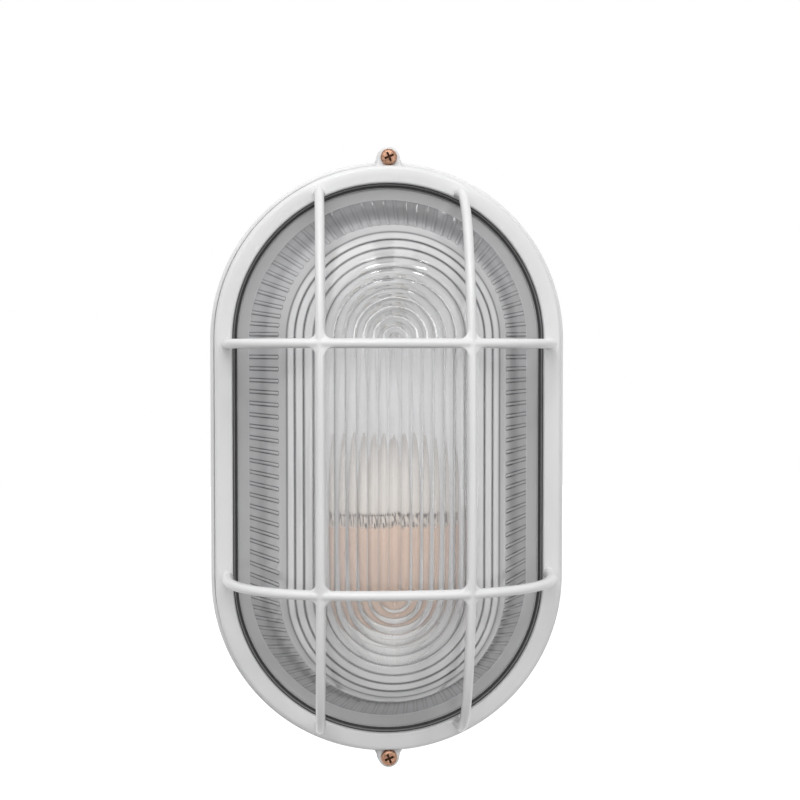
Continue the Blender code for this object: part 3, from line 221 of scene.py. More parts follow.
BAND_LOW_TONE = (0.55, 0.47, 0.40)
BAND_TOP_TONE = (0.56, 0.51, 0.46)
OPAL_TONE = (0.58, 0.54, 0.495)
OPAL_TOP_TONE = (0.555, 0.525, 0.50)
SPECKLE_TONE = (0.07, 0.04, 0.03)
# Steps between the lamp's tones, as shares of its height
TONE_STEP = 0.004
OPAL_STEP = 0.04
SPECKLE_LOW = (-0.006, 0.008)
SPECKLE_TOP = (-0.004, 0.01)
SPECKLE_CUT = (0.5, 0.57)    # noise below the first is plain, above the second dark

# Cover screws
SHANK_RADIUS = 0.0019
TIP_RADIUS = 0.0012
TIP_HEIGHT = 0.001
HEAD_EDGE = 0.35             # height of the head's edge, as a share of the head's
HEAD_ROUNDNESS = 0.6
CROSS_DEPTH = 0.0015
CROSS_SPAN = 0.0023
CROSS_WIDTH = 0.00055
CROSS_TURN = 0.4
# Painted shade: the near-black given to the screws' cross recesses
RECESS_SHADE_TONE = (0.05, 0.025, 0.015)

# Fineness
ARC_STEPS = 96
SIDE_STEPS = 12
GLASS_ARC_STEPS = 120
RING_STEPS = 14
BAR_STEPS = 96
BAR_SIDES = 24
STAR_STEPS = 8
LUG_STEPS = 20
LUG_EDGE_STEPS = 3
ROUND_STEPS = 4
HOLE_SIDES = 32
PLUG_SIDES = 48
LAMP_STEPS = 24
LAMP_SIDES = 96
HEAD_STEPS = 12
SCREW_SIDES = 48
SHARP_ANGLE = math.radians(40)
CAGE_SHARP_ANGLE = math.radians(35)
GLASS_SHARP_ANGLE = math.radians(50)
WELD_REACH = 1e-6
SAME = 1e-9

# Camera, from the photograph's own perspective
CAMERA_PLACE = (-0.0381, -0.7079, 0.0513)
CAMERA_TURN = (math.radians(88.03), 0.0, math.radians(-3.77))
FOCAL_LENGTH = 61.97
SENSOR_WIDTH = 36.0

# Stage and lights
FLOOR_HALF = 6.0
FLOOR_DROP = 0.6
WORLD_ABOVE = 0.58
WORLD_BELOW = 0.2
WORLD_FADE = 0.6             # height of a direction at which the world's light is full
# Name, place, target, size, watts, seen through glass
LIGHTS = (
    ("key", (-0.5, -1.2, 1.3), (0, -0.05, 0), (1.8, 1.8), 17.5, True),
    ("fill", (1.0, -1.3, 0.2), (0, -0.05, 0), (0.8, 0.8), 3.0, True),
    ("glint_left", (-0.19, -1.25, 0.98), (0, -0.1, 0.09), (0.16, 0.1), 1.6, False),
    ("glint_right", (0.40, -1.2, 0.90), (0, -0.1, 0.09), (0.16, 0.1), 1.6, False),
    ("glint_front", (0.11, -1.6, 0.09), (0, -0.1, 0.06), (0.16, 0.045), 0.25, False),
)

OUTWARD = (0, -1, 0)
UPWARD = (0, 0, 1)
BLACK = (0.0, 0.0, 0.0)
WHITE = (1.0, 1.0, 1.0)


# Mesh helpers

def rounded(corners):
    """Points of a closed outline of (offset, depth, radius) corners, each rounded by a curve."""
    points = []
    for index, (x, y, radius) in enumerate(corners):
        corner = Vector((x, y))
        if radius == 0.0:
            points.append((x, y))
            continue
        before = Vector(corners[index - 1][:2]) - corner
        after = Vector(corners[(index + 1) % len(corners)][:2]) - corner
        start = corner + before.normalized() * min(radius, before.length / 2)
        end = corner + after.normalized() * min(radius, after.length / 2)
        for step in range(ROUND_STEPS + 1):
            part = step / ROUND_STEPS
            point = start * (1 - part) ** 2 + corner * 2 * part * (1 - part) + end * part ** 2
            points.append((point.x, point.y))
    return points


def oval_columns(arc_steps, side_steps=1):
    """Outward normal (x, z) and starting height of each column round the oval."""
    columns = []
    for side, start in ((1, 0.0), (-1, math.pi)):
        for step in range(arc_steps + 1):
            angle = start + math.pi * step / arc_steps
            columns.append((math.cos(angle), math.sin(angle), side * ARC_HEIGHT))
        for step in range(1, side_steps):
            columns.append((-side, 0.0, side * ARC_HEIGHT * (1 - 2 * step / side_steps)))
    return columns


def oval_ring(mesh_data, columns, offset, depth):
    ring = []
    for normal_x, normal_z, height in columns:
        place = (normal_x * offset, -depth, height + normal_z * offset)
        ring.append(mesh_data.verts.new(place))
    return ring


def skin(mesh_data, first, second):
    """Four-sided faces between two rings of equal count."""
    count = len(first)
    for index in range(count):
        after = (index + 1) % count
        mesh_data.faces.new((first[index], first[after], second[after], second[index]))


def skin_rings(mesh_data, rings):
    for first, second in zip(rings, rings[1:]):
        skin(mesh_data, first, second)


def skin_capped(mesh_data, rings):
    """A solid through the rings, with a face at each end."""
    skin_rings(mesh_data, rings)
    mesh_data.faces.new(rings[0])
    mesh_data.faces.new(rings[-1])


def strip(mesh_data, first, first_shared, second, second_shared):
    """Join two rings of different counts at the columns that both share."""
    count = len(first_shared)
    for index in range(count):
        after = (index + 1) % count
        runs = []
        for ring, shared in ((first, first_shared), (second, second_shared)):
            start, end = shared[index], shared[after]
            if end <= start:
                end += len(ring)
            runs.append([ring[place % len(ring)] for place in range(start, end + 1)])
        mesh_data.faces.new(runs[0][::-1] + runs[1])


def oval_sweep(mesh_data, columns, outline, closed=True):
    rings = [oval_ring(mesh_data, columns, offset, depth) for offset, depth in outline]
    if closed:
        skin_rings(mesh_data, rings)
        skin(mesh_data, rings[-1], rings[0])
    else:
        skin_capped(mesh_data, rings)


def turn(mesh_data, outline, centre, axis, sides):
    """Spin (radius, distance) points about an axis through centre."""
    axis = Vector(axis).normalized()
    across = axis.orthogonal().normalized()
    centre = Vector(centre)
    points = [
        mesh_data.verts.new(centre + across * radius + axis * along) for radius, along in outline
    ]
    edges = [mesh_data.edges.new(pair) for pair in zip(points, points[1:])]
    bmesh.ops.spin(
        mesh_data, geom=points + edges, cent=centre, axis=axis, angle=2 * math.pi, steps=sides,
    )
    bmesh.ops.remove_doubles(mesh_data, verts=mesh_data.verts, dist=WELD_REACH)


def pin(mesh_data, height, radius, back, front, sides):
    """A round pin that stands out from the wall, for cutting a hole."""
    outline = ((0.0, back), (radius, back), (radius, front), (0.0, front))
    turn(mesh_data, outline, (0.0, 0.0, height), OUTWARD, sides)


def prism(mesh_data, outline, back, front):
    """A solid with the same (x, z) outline at two depths."""
    rear = [mesh_data.verts.new((x, -back, z)) for x, z in outline]
    fore = [mesh_data.verts.new((x, -front, z)) for x, z in outline]
    skin_capped(mesh_data, (rear, fore))


def quarter_directions(turned=0.0):
    """The four directions of a cross, each with the one to its left."""
    for quarter in range(4):
        angle = math.pi / 2 * quarter + turned
        facing = Vector((math.cos(angle), math.sin(angle)))
        yield facing, Vector((-facing.y, facing.x))


def shade(mesh, sharp=SHARP_ANGLE):
    """Smooth shading, broken where faces meet at more than the sharp angle."""
    mesh.shade_smooth()
    mesh.set_sharp_from_angle(angle=sharp)


def piece(name, mesh_data, sharp=SHARP_ANGLE):
    bmesh.ops.recalc_face_normals(mesh_data, faces=mesh_data.faces)
    mesh = bpy.data.meshes.new(name)
    mesh_data.to_mesh(mesh)
    mesh_data.free()
    shade(mesh, sharp)
    made = bpy.data.objects.new(name, mesh)
    bpy.context.scene.collection.objects.link(made)
    return made


def apply_modifiers(thing):
    """Swap the object's mesh for what its modifiers make."""
    graph = bpy.context.evaluated_depsgraph_get()
    mesh = bpy.data.meshes.new_from_object(thing.evaluated_get(graph))
    thing.modifiers.clear()
    thing.data = mesh


def combine(target, other, operation):
    step = target.modifiers.new(operation, "BOOLEAN")
    step.operation = operation
    step.solver = "EXACT"
    step.object = other
    apply_modifiers(target)
    bpy.data.objects.remove(other)


def seat(made, node, surface):
    """Stand the piece for its CAD node, on the light's one body."""
    made.data.materials.clear()
    made.data.materials.append(surface)
    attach(made, "root")
    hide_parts(node)
    return made


# Materials

class Surface:
    """A node material with one Principled shader, built up by short calls."""

    def __init__(self, name, colour, roughness, metallic=0.0):
        self.material = bpy.data.materials.new(name)
        self.material.use_nodes = True
        self.tree = self.material.node_tree
        self.shader = self.tree.nodes["Principled BSDF"]
        self.set("Base Color", (*colour, 1.0))
        self.set("Roughness", roughness)
        self.set("Metallic", metallic)
        self.coordinates = self.node("ShaderNodeTexCoord").outputs["Object"]

    def node(self, kind, **values):
        made = self.tree.nodes.new(kind)
        for name, value in values.items():
            setattr(made, name, value)
        return made

    def link(self, source, target):
        self.tree.links.new(source, target)

    def set(self, socket, value):
        self.shader.inputs[socket].default_value = value

    def feed(self, socket, source):
        self.link(source, self.shader.inputs[socket])

    def noise(self, scale, detail, roughness=0.55):
        made = self.node("ShaderNodeTexNoise")
        made.inputs["Scale"].default_value = scale
        made.inputs["Detail"].default_value = detail
        made.inputs["Roughness"].default_value = roughness
        self.link(self.coordinates, made.inputs["Vector"])
        return made.outputs["Fac"]

    def spread(self, source, low, high):
        """Map a 0 to 1 source onto a range."""
        made = self.node("ShaderNodeMapRange")
        made.inputs["To Min"].default_value = low
        made.inputs["To Max"].default_value = high
        self.link(source, made.inputs["Value"])
        return made.outputs["Result"]

    def ramp(self, source, stops):
        """A colour socket through (place, colour) stops."""
        made = self.node("ShaderNodeValToRGB")
        band = made.color_ramp
        while len(band.elements) < len(stops):
            band.elements.new(0.5)
        for element, (place, colour) in zip(band.elements, stops):
            element.position = place
            element.color = (*colour, 1.0)
        self.link(source, made.inputs["Fac"])
        return made.outputs["Color"]

    def bump(self, source, distance, strength, under=None):
        made = self.node("ShaderNodeBump")
        made.inputs["Distance"].default_value = distance
        made.inputs["Strength"].default_value = strength
        self.link(source, made.inputs["Height"])
        if under is not None:
            self.link(under, made.inputs["Normal"])
        return made.outputs["Normal"]

    def blend(self, share, low, high):
        """A colour socket between two colours or sockets."""
        made = self.node("ShaderNodeMix", data_type="RGBA")
        self.link(share, made.inputs["Factor"])
        for socket, colour in ((6, low), (7, high)):
            if isinstance(colour, tuple):
                made.inputs[socket].default_value = (*colour, 1.0)
            else:
                self.link(colour, made.inputs[socket])
        return made.outputs[2]

    def attribute(self, name):
        return self.node("ShaderNodeAttribute", attribute_name=name).outputs["Fac"]


def painted_casting():
    paint = Surface("white_paint", (0.80, 0.80, 0.80), 0.3)
    cloud = paint.noise(scale=18.0, detail=3.0)
    grain = paint.noise(scale=420.0, detail=2.0)
    tones = ((0.3, (0.76, 0.76, 0.765)), (0.7, (0.81, 0.81, 0.81)))
    paint.feed("Base Color", paint.ramp(cloud, tones))
    paint.feed("Roughness", paint.spread(cloud, low=0.26, high=0.42))
    broad = paint.bump(cloud, distance=0.0004, strength=0.25)
    paint.feed("Normal", paint.bump(grain, distance=0.00005, strength=0.5, under=broad))
    paint.set("Coat Weight", 0.25)
    paint.set("Coat Roughness", 0.15)
    return paint.material


def pressed_glass():
    """Clear to milky by haze, with painted shade along its ring and rib lines, and part open to the
    lamps' light.
    """
    glass = Surface("pressed_glass", (0.96, 0.96, 0.965), 0.04)
    glass.set("IOR", 1.48)
    haze = glass.attribute("haze")
    line = glass.attribute("line")
    body = glass.ramp(haze, [(place, tone) for place, tone, _ in GLASS_TONES])
    through = glass.ramp(haze, [(place, (share,) * 3) for place, _, share in GLASS_TONES])
    glass.feed("Base Color", glass.blend(line, body, LINE_SHADE_TONE))
    glass.feed("Transmission Weight", through)
    ripple = glass.noise(scale=160.0, detail=2.0)
    wave = glass.noise(scale=35.0, detail=2.0)
    broad = glass.bump(wave, distance=0.0004, strength=0.12)
    glass.feed("Normal", glass.bump(ripple, distance=0.00006, strength=0.15, under=broad))
    clear = glass.node("ShaderNodeBsdfTransparent")
    passed = ((RING_HAZE, (LIGHT_PASSED,) * 3), (TOP_SHADE_HAZE, (WALL_LIGHT_PASSED,) * 3))
    glass.link(glass.ramp(haze, passed), clear.inputs["Color"])
    path = glass.node("ShaderNodeLightPath")
    mix = glass.node("ShaderNodeMixShader")
    glass.link(path.outputs["Is Shadow Ray"], mix.inputs["Fac"])
    glass.link(glass.shader.outputs["BSDF"], mix.inputs[1])
    glass.link(clear.outputs["BSDF"], mix.inputs[2])
    glass.link(mix.outputs["Shader"], glass.tree.nodes["Material Output"].inputs["Surface"])
    return glass.material


def black_rubber():
    """Black, with a painted highlight along its bead's crest and over its inner lip."""
    rubber = Surface("black_rubber", (0.03, 0.03, 0.03), 0.45)
    grain = rubber.noise(scale=700.0, detail=3.0)
    dark = rubber.ramp(grain, ((0.3, (0.006, 0.006, 0.007)), (0.75, (0.02, 0.02, 0.021))))
    # The painted highlight lightens the black rubber to pale grey
    rubber.feed("Base Color", rubber.blend(rubber.attribute("painted_highlight"), dark, (0.7, 0.7, 0.7)))
    rubber.feed("Normal", rubber.bump(grain, distance=0.0001, strength=0.3))
    return rubber.material


def enamelled_sheet():
    sheet = Surface("white_enamel", (0.9, 0.9, 0.9), 0.5)
    cloud = sheet.noise(scale=30.0, detail=3.0)
    tones = ((0.3, (0.87, 0.87, 0.875)), (0.7, (0.91, 0.91, 0.915)))
    sheet.feed("Base Color", sheet.ramp(cloud, tones))
    sheet.feed("Normal", sheet.bump(cloud, distance=0.0002, strength=0.2))
    return sheet.material


def plated_metal(name, dark, light, roughness):
    metal = Surface(name, light, roughness, metallic=1.0)
    mottle = metal.noise(scale=600.0, detail=5.0, roughness=0.65)
    plate = metal.ramp(mottle, ((0.35, dark), (0.65, light)))
    # Faces marked as recess take the near-black tone: painted shade in the cross recess
    metal.feed("Base Color", metal.blend(metal.attribute("recess"), plate, RECESS_SHADE_TONE))
    metal.feed("Roughness", metal.spread(mottle, low=roughness - 0.08, high=roughness + 0.15))
    metal.feed("Normal", metal.bump(mottle, distance=0.0001, strength=0.25))
    return metal.material


def glazed_porcelain():
    # Mid grey instead of the glaze's white: painted shade for the lampholder low in the housing
    glaze = Surface("glazed_porcelain", (0.60, 0.59, 0.57), 0.2)
    cloud = glaze.noise(scale=60.0, detail=3.0)
    tones = ((0.3, (0.56, 0.555, 0.54)), (0.7, (0.63, 0.625, 0.61)))
    glaze.feed("Base Color", glaze.ramp(cloud, tones))
    glaze.feed("Normal", glaze.bump(cloud, distance=0.0003, strength=0.15))
    return glaze.material


def wire_sheath():
    sheath = Surface("wire_sheath", (0.78, 0.78, 0.76), 0.45)
    grain = sheath.noise(scale=500.0, detail=2.0)
    tones = ((0.3, (0.72, 0.72, 0.70)), (0.7, (0.80, 0.80, 0.78)))
    sheath.feed("Base Color", sheath.ramp(grain, tones))
    return sheath.material


def lamp_surface():
    """Opal dome, dark speckled band and peach body, told apart by height."""
    lamp = Surface("lamp_body", (0.8, 0.7, 0.6), 0.4)
    split = lamp.node("ShaderNodeSeparateXYZ")
    lamp.link(lamp.coordinates, split.inputs["Vector"])
    height = lamp.node("ShaderNodeMapRange")
    height.inputs["From Min"].default_value = LAMP_LOW.z
    height.inputs["From Max"].default_value = LAMP_TOP
    lamp.link(split.outputs["Z"], height.inputs["Value"])
    tall = LAMP_TOP - LAMP_LOW.z
    neck, low, top = [(level - LAMP_LOW.z) / tall for level in (NECK_HEIGHT, BODY_TOP, BAND_TOP)]
    tones = lamp.ramp(height.outputs["Result"], (
        (0.0, CAP_TONE),
        (neck, CAP_TONE),
        (neck + TONE_STEP, PEACH_TONE),
        (low, PEACH_TONE),
        (low + TONE_STEP, BAND_LOW_TONE),
        (top, BAND_TOP_TONE),
        (top + OPAL_STEP, OPAL_TONE),
        (1.0, OPAL_TOP_TONE),
    ))
    grain = lamp.noise(scale=260.0, detail=2.0, roughness=0.5)
    dots = lamp.ramp(grain, ((SPECKLE_CUT[0], BLACK), (SPECKLE_CUT[1], WHITE)))
    in_band = lamp.ramp(height.outputs["Result"], (
        (low + SPECKLE_LOW[0], BLACK),
        (low + SPECKLE_LOW[1], WHITE),
        (top + SPECKLE_TOP[0], WHITE),
        (top + SPECKLE_TOP[1], BLACK),
    ))
    speckle = lamp.node("ShaderNodeMath", operation="MULTIPLY")
    lamp.link(dots, speckle.inputs[0])
    lamp.link(in_band, speckle.inputs[1])
    lamp.feed("Base Color", lamp.blend(speckle.outputs["Value"], tones, SPECKLE_TONE))
    return lamp.material


# Castings

def lug_outline(side, radius, root):
    outline = [(radius + LUG_FLARE, side * root)]
    for step in range(LUG_STEPS + 1):
        angle = math.pi * step / LUG_STEPS
        height = SCREW_HEIGHT + radius * math.sin(angle)
        outline.append((radius * math.cos(angle), side * height))
    outline.append((-radius - LUG_FLARE, side * root))
    return outline


def lugs(name, radius, root, back, front):
    """A lug at each end, its edges rounded over."""
    mesh_data = bmesh.new()
    for side in (1, -1):
        prism(mesh_data, lug_outline(side, radius, root), back, front)
    made = piece(name, mesh_data)
    soften = made.modifiers.new("edges", "BEVEL")
    soften.width = LUG_EDGE
    soften.segments = LUG_EDGE_STEPS
    soften.limit_method = "ANGLE"
    apply_modifiers(made)
    return made


def lug_holes(back, front):
    mesh_data = bmesh.new()
    for side in (1, -1):
        pin(mesh_data, side * SCREW_HEIGHT, SHANK_HOLE, back, front, HOLE_SIDES)
    return piece("lug_holes", mesh_data)


def bezel_outline():
    middle = (OPENING_RADIUS + BEZEL_RADIUS) / 2
    return rounded((
        (OPENING_RADIUS, BEZEL_FRONT - BEZEL_LIP, FINE_EDGE),
        (OPENING_RADIUS, BEZEL_FRONT - FACE_CROWN, SOFT_EDGE),
        (middle, BEZEL_FRONT, CROWN_EDGE),
        (BEZEL_RADIUS, BEZEL_FRONT - FACE_CROWN * 2, BEZEL_EDGE),
        (BEZEL_RADIUS, BEZEL_BACK, FINE_EDGE),
        (CHANNEL_RADIUS, BEZEL_BACK, 0.0),
        (CHANNEL_RADIUS, BEZEL_FRONT - BEZEL_LIP, 0.0),
    ))


def arch_rise(across, half_span):
    share = min(abs(across) / half_span, 1.0)
    return BAR_RISE * (1 - share ** ARCH_POWER) ** (1 / ARCH_POWER)


def arch_path(half_span):
    """(across, rise over the bezel) of a bar's middle line, from foot to foot."""
    power = 2 / ARCH_POWER
    path = [(half_span, -BEZEL_LIP / 2)]
    for step in range(BAR_STEPS + 1):
        angle = math.pi * step / BAR_STEPS
        across = half_span * math.copysign(abs(math.cos(angle)) ** power, math.cos(angle))
        path.append((across, BAR_RISE * max(math.sin(angle), 0.0) ** power))
    path.append((-half_span, -BEZEL_LIP / 2))
    return path


def bar_section(turn_angle, nearness):
    """Sideways and outward place on a bar's oval, which flares to a fin near its foot."""
    share = math.cos(turn_angle)
    if math.sin(turn_angle) > 0:
        share = math.copysign(abs(share) ** (1 + FOOT_FIN * nearness), share)
    half_width = BAR_WIDTH / 2 * (1 + FOOT_FLARE * nearness)
    return half_width * share, BAR_DEPTH / 2 * math.sin(turn_angle)


def cage_bar(mesh_data, half_span, place):
    path = arch_path(half_span)
    rings = []
    for index, (across, rise) in enumerate(path):
        before = path[max(index - 1, 0)]
        after = path[min(index + 1, len(path) - 1)]
        along = Vector((after[0] - before[0], after[1] - before[1])).normalized()
        nearness = math.exp(-max(rise, 0.0) / FLARE_HEIGHT)
        ring = []
        for side in range(BAR_SIDES):
            sideways, out = bar_section(2 * math.pi * side / BAR_SIDES, nearness)
            point = place(across - along.y * out, rise + along.x * out, sideways)
            ring.append(mesh_data.verts.new(point))
        rings.append(ring)
    skin_capped(mesh_data, rings)


def cage_bars(mesh_data):
    for side in (1, -1):
        cage_bar(
            mesh_data, UPRIGHT_SPAN,
            lambda across, rise, sideways: (side * BAR_X + sideways, -(BEZEL_FRONT + rise), across),
        )
        cage_bar(
            mesh_data, BAR_FOOT,
            lambda across, rise, sideways: (across, -(BEZEL_FRONT + rise), side * BAR_Z + sideways),
        )


def star_outline(reach):
    """A cross with hollow round corners, which fills the inner corners of a crossing."""
    outline = []
    for facing, left in quarter_directions():
        for step in range(STAR_STEPS + 1):
            swing = math.pi / 2 * step / STAR_STEPS
            along = reach - FILLET_RADIUS * math.sin(swing)
            off = reach - FILLET_RADIUS * math.cos(swing)
            outline.append(facing * along + left * off)
    return outline


def crossing_fillets(mesh_data):
    """A star at each crossing, bent along both of its bars."""
    outline = star_outline(BAR_WIDTH / 2 - SEAT_GAP + FILLET_RADIUS)
    half = FILLET_THICKNESS / 2
    for side_x in (1, -1):
        for side_z in (1, -1):
            rear, fore = [], []
            for point in outline:
                x, z = side_x * BAR_X + point.x, side_z * BAR_Z + point.y
                fall = arch_rise(BAR_Z, UPRIGHT_SPAN) - arch_rise(z, UPRIGHT_SPAN)
                depth = BEZEL_FRONT + arch_rise(x, BAR_FOOT) - fall
                rear.append(mesh_data.verts.new((x, half - depth, z)))
                fore.append(mesh_data.verts.new((x, -half - depth, z)))
            skin_capped(mesh_data, (rear, fore))


def cage():
    """The four bars melted together, with the soft inner corners of a casting."""
    mesh_data = bmesh.new()
    cage_bars(mesh_data)
    crossing_fillets(mesh_data)
    made = piece("cage", mesh_data)
    remesh = made.modifiers.new("melt", "REMESH")
    remesh.mode = "VOXEL"
    remesh.voxel_size = CAST_VOXEL
    soften = made.modifiers.new("soften", "SMOOTH")
    soften.factor = SOFTEN_SHARE
    soften.iterations = SOFTEN_ROUNDS
    apply_modifiers(made)
    return made


def guard_frame(surface):
    """Bezel, lugs and cage as one casting."""
    mesh_data = bmesh.new()
    oval_sweep(mesh_data, oval_columns(ARC_STEPS, SIDE_STEPS), bezel_outline())
    made = piece("cage_and_bezel", mesh_data)
    root = ARC_HEIGHT + (CHANNEL_RADIUS + BEZEL_RADIUS) / 2
    combine(made, lugs("frame_lugs", LUG_RADIUS, root, BEZEL_BACK, LUG_FRONT), "UNION")
    combine(made, lug_holes(BEZEL_BACK - SEAT_GAP, BEZEL_FRONT), "DIFFERENCE")
    combine(made, cage(), "UNION")
    shade(made.data, CAGE_SHARP_ANGLE)
    return seat(made, "guard_frame", surface)


def base_outline():
    back = HOUSING_BACK + BASE_WALL
    front = HOUSING_FRONT + BASE_WALL
    rim_back = BASE_DEPTH - RIM_THICKNESS
    return rounded((
        (HOUSING_BACK, BASE_FLOOR, 0.0),
        (HOUSING_FRONT, LEDGE_DEPTH, FINE_EDGE),
        (CHANNEL_RADIUS, LEDGE_DEPTH, FINE_EDGE),
        (CHANNEL_RADIUS, BASE_DEPTH, TIGHT_EDGE),
        (BEZEL_RADIUS - JOINT_GROOVE / 2, BASE_DEPTH, TIGHT_EDGE),
        (BEZEL_RADIUS - JOINT_GROOVE / 2, BASE_DEPTH - JOINT_DEPTH, FINE_EDGE),
        (BEZEL_RADIUS + JOINT_GROOVE, BASE_DEPTH - JOINT_DEPTH, FINE_EDGE),
        (BEZEL_RADIUS + JOINT_GROOVE, BASE_DEPTH, FINE_EDGE),
        (RIM_RADIUS, BASE_DEPTH, SOFT_EDGE),
        (RIM_RADIUS, rim_back, SOFT_EDGE),
        (front, rim_back, RIM_ROOT_EDGE),
        (back, 0.0, BASE_EDGE),
        (HOUSING_BACK, 0.0, 0.0),
    ))


def floor_holes():
    """Seats in the floor for the cable grommet and the two fixing plugs."""
    mesh_data = bmesh.new()
    for node in ("cable_grommet", "fixing_plug_upper", "fixing_plug_lower"):
        low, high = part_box(node)
        radius = (high.x - low.x) / 2 + SEAT_GAP
        pin(mesh_data, (low.z + high.z) / 2, radius, -BASE_FLOOR, 2 * BASE_FLOOR, PLUG_SIDES)
    return piece("floor_holes", mesh_data)


def base_housing(surface):
    mesh_data = bmesh.new()
    oval_sweep(mesh_data, oval_columns(ARC_STEPS, SIDE_STEPS), base_outline(), closed=False)
    made = piece("cast_base", mesh_data)
    radius = LUG_RADIUS + LUG_MARGIN
    root = ARC_HEIGHT + (BEZEL_RADIUS + JOINT_GROOVE + RIM_RADIUS) / 2
    combine(made, lugs("base_lugs", radius, root, LUG_BACK, BASE_DEPTH), "UNION")
    combine(made, lug_holes(LUG_BACK - SEAT_GAP, BASE_DEPTH + SEAT_GAP), "DIFFERENCE")
    combine(made, floor_holes(), "DIFFERENCE")
    shade(made.data)
    return seat(made, "base_housing", surface)


def lens_gasket(surface):
    """U-section round the flange, its front edge drawn out to a bead."""
    groove = FLANGE_RADIUS + SEAT_GAP
    outline = rounded((
        (LIP_OFFSET, GASKET_BACK, FINE_EDGE),
        (GASKET_RADIUS, GASKET_BACK, FINE_EDGE),
        (GASKET_RADIUS, GASKET_FRONT, FINE_EDGE),
        (OPENING_RADIUS, GASKET_FRONT, TIGHT_EDGE),
        (OPENING_RADIUS - BEAD_INSET, GASKET_FRONT, FINE_EDGE),
        (OPENING_RADIUS - 2 * BEAD_INSET, GASKET_FRONT - BEAD_GROOVE, TIGHT_EDGE),
        (LIP_OFFSET, GASKET_FRONT - BEAD_GROOVE, FINE_EDGE),
        (LIP_OFFSET, GASKET_FRONT - LIP_THICKNESS, FINE_EDGE),
        (groove, GASKET_FRONT - LIP_THICKNESS, 0.0),
        (groove, GASKET_BACK + LIP_THICKNESS, 0.0),
        (LIP_OFFSET, GASKET_BACK + LIP_THICKNESS, FINE_EDGE),
    ))
    mesh_data = bmesh.new()
    highlight_layer = mesh_data.verts.layers.float.new("painted_highlight")
    oval_sweep(mesh_data, oval_columns(ARC_STEPS), outline)
    for vertex in mesh_data.verts:
        offset = math.hypot(vertex.co.x, max(abs(vertex.co.z) - ARC_HEIGHT, 0.0))
        if offset < OPENING_RADIUS:
            # Painted highlight: pale along the bead's crest and all over the inner lip
            crest = CREST_HIGHLIGHT * max(0.0, 1 - abs(offset - HIGHLIGHT_OFFSET) / HIGHLIGHT_REACH)
            inner = offset < LIP_OFFSET + HIGHLIGHT_REACH / 4
            lip = inner and vertex.co.y < LIP_THICKNESS - GASKET_FRONT
            vertex[highlight_layer] = 1.0 if lip else crest
    return seat(piece("glass_gasket", mesh_data), "lens_gasket", surface)


# Glass

def dome_depth(offset):
    return GLASS_TOP - DOME_DROP * (offset / DROP_RADIUS) ** 4


def ring_valleys():
    """Offsets of the ring lines, a pitch apart along the dome's own surface."""
    valleys = [FIRST_RING]
    for _ in range(RING_COUNT - 1):
        offset = valleys[-1] + RING_PITCH / 2
        slope = 4 * DOME_DROP * offset ** 3 / DROP_RADIUS ** 4
        valleys.append(valleys[-1] + RING_PITCH / math.hypot(1, slope))
    return valleys


def dome_outline():
    """(offset, depth, painted line shade) from the outer ring line in: smooth between fine grooves.
    """
    outline = []
    for valley, strength in zip(ring_valleys()[::-1], RING_LINES):
        for share in RING_SHARES:
            offset = valley + RING_HALF_WIDTH * (1 + strength) * share
            sunk = (1 + math.cos(math.pi * share)) / 2
            outline.append((offset, dome_depth(offset) - RING_RELIEF * sunk, strength * sunk))
    middle = FIRST_RING * DOME_MIDDLE
    outline.append((middle, dome_depth(middle), 0.0))
    return outline


def flute_outline():
    """(offset, depth, hollow) of the dome's inside, ridged under the ring lines, middle out."""
    valleys = [-FIRST_RING] + ring_valleys()
    outline = []
    for inner, outer in zip(valleys, valleys[1:]):
        for step in range(RING_STEPS):
            part = step / RING_STEPS
            offset = inner + (outer - inner) * part
            if offset > 0:
                fade = min(max((FLUTE_REACH + FLUTE_FADE - offset) / FLUTE_FADE, 0.0), 1.0)
                hollow = FLUTE_HOLLOW * fade * (1 - (2 * part - 1) ** 2)
                outline.append((offset, dome_depth(offset) - GLASS_THICKNESS, hollow))
    return outline


def flute_ring(mesh_data, columns, offset, depth, hollow):
    """A ring of the dome's inside, its flutes shallower round the arcs than along the straight."""
    ring = oval_ring(mesh_data, columns, offset, depth)
    for vertex, column in zip(ring, columns):
        vertex.co.y -= hollow * (1 - FLUTE_EASE * abs(column[1]))
    return ring


def rib_columns():
    """Columns of the ribbed wall, and which of them the plain rings share.

    Each is (angle, height, way the rib turns or climbs, share of its half width, relief).
    """
    columns, shared = [], []
    for side, start in ((1, 0.0), (-1, math.pi)):
        height = side * ARC_HEIGHT
        for cell in range(ARC_RIBS + 1):
            shared.append(len(columns))
            columns.append((start + math.pi * cell / ARC_RIBS, height, 0, 0.0, 0.0))
            if cell < ARC_RIBS:
                middle = start + math.pi * (cell + 0.5) / ARC_RIBS
                columns += [(middle, height, 1, share, raised) for share, raised in RIB_PROFILE]
        for cell in range(SIDE_RIBS):
            middle = height - side * 2 * ARC_HEIGHT * (cell + 0.5) / SIDE_RIBS
            for share, raised in RIB_PROFILE:
                columns.append((start + math.pi, middle, -side, share, raised))
    return columns, shared


def rib_place(column, offset, width):
    """Outward normal and starting height of a rib column, its rib drawn in to a share of width."""
    angle, height, turning, share, _ = column
    across = RIB_HALF_WIDTH * share * width
    on_arc = abs(abs(height) - ARC_HEIGHT) < SAME
    if on_arc and turning == 1:
        angle += across / offset
    elif turning != 0:
        height += turning * across
    return math.cos(angle), math.sin(angle) if on_arc else 0.0, height


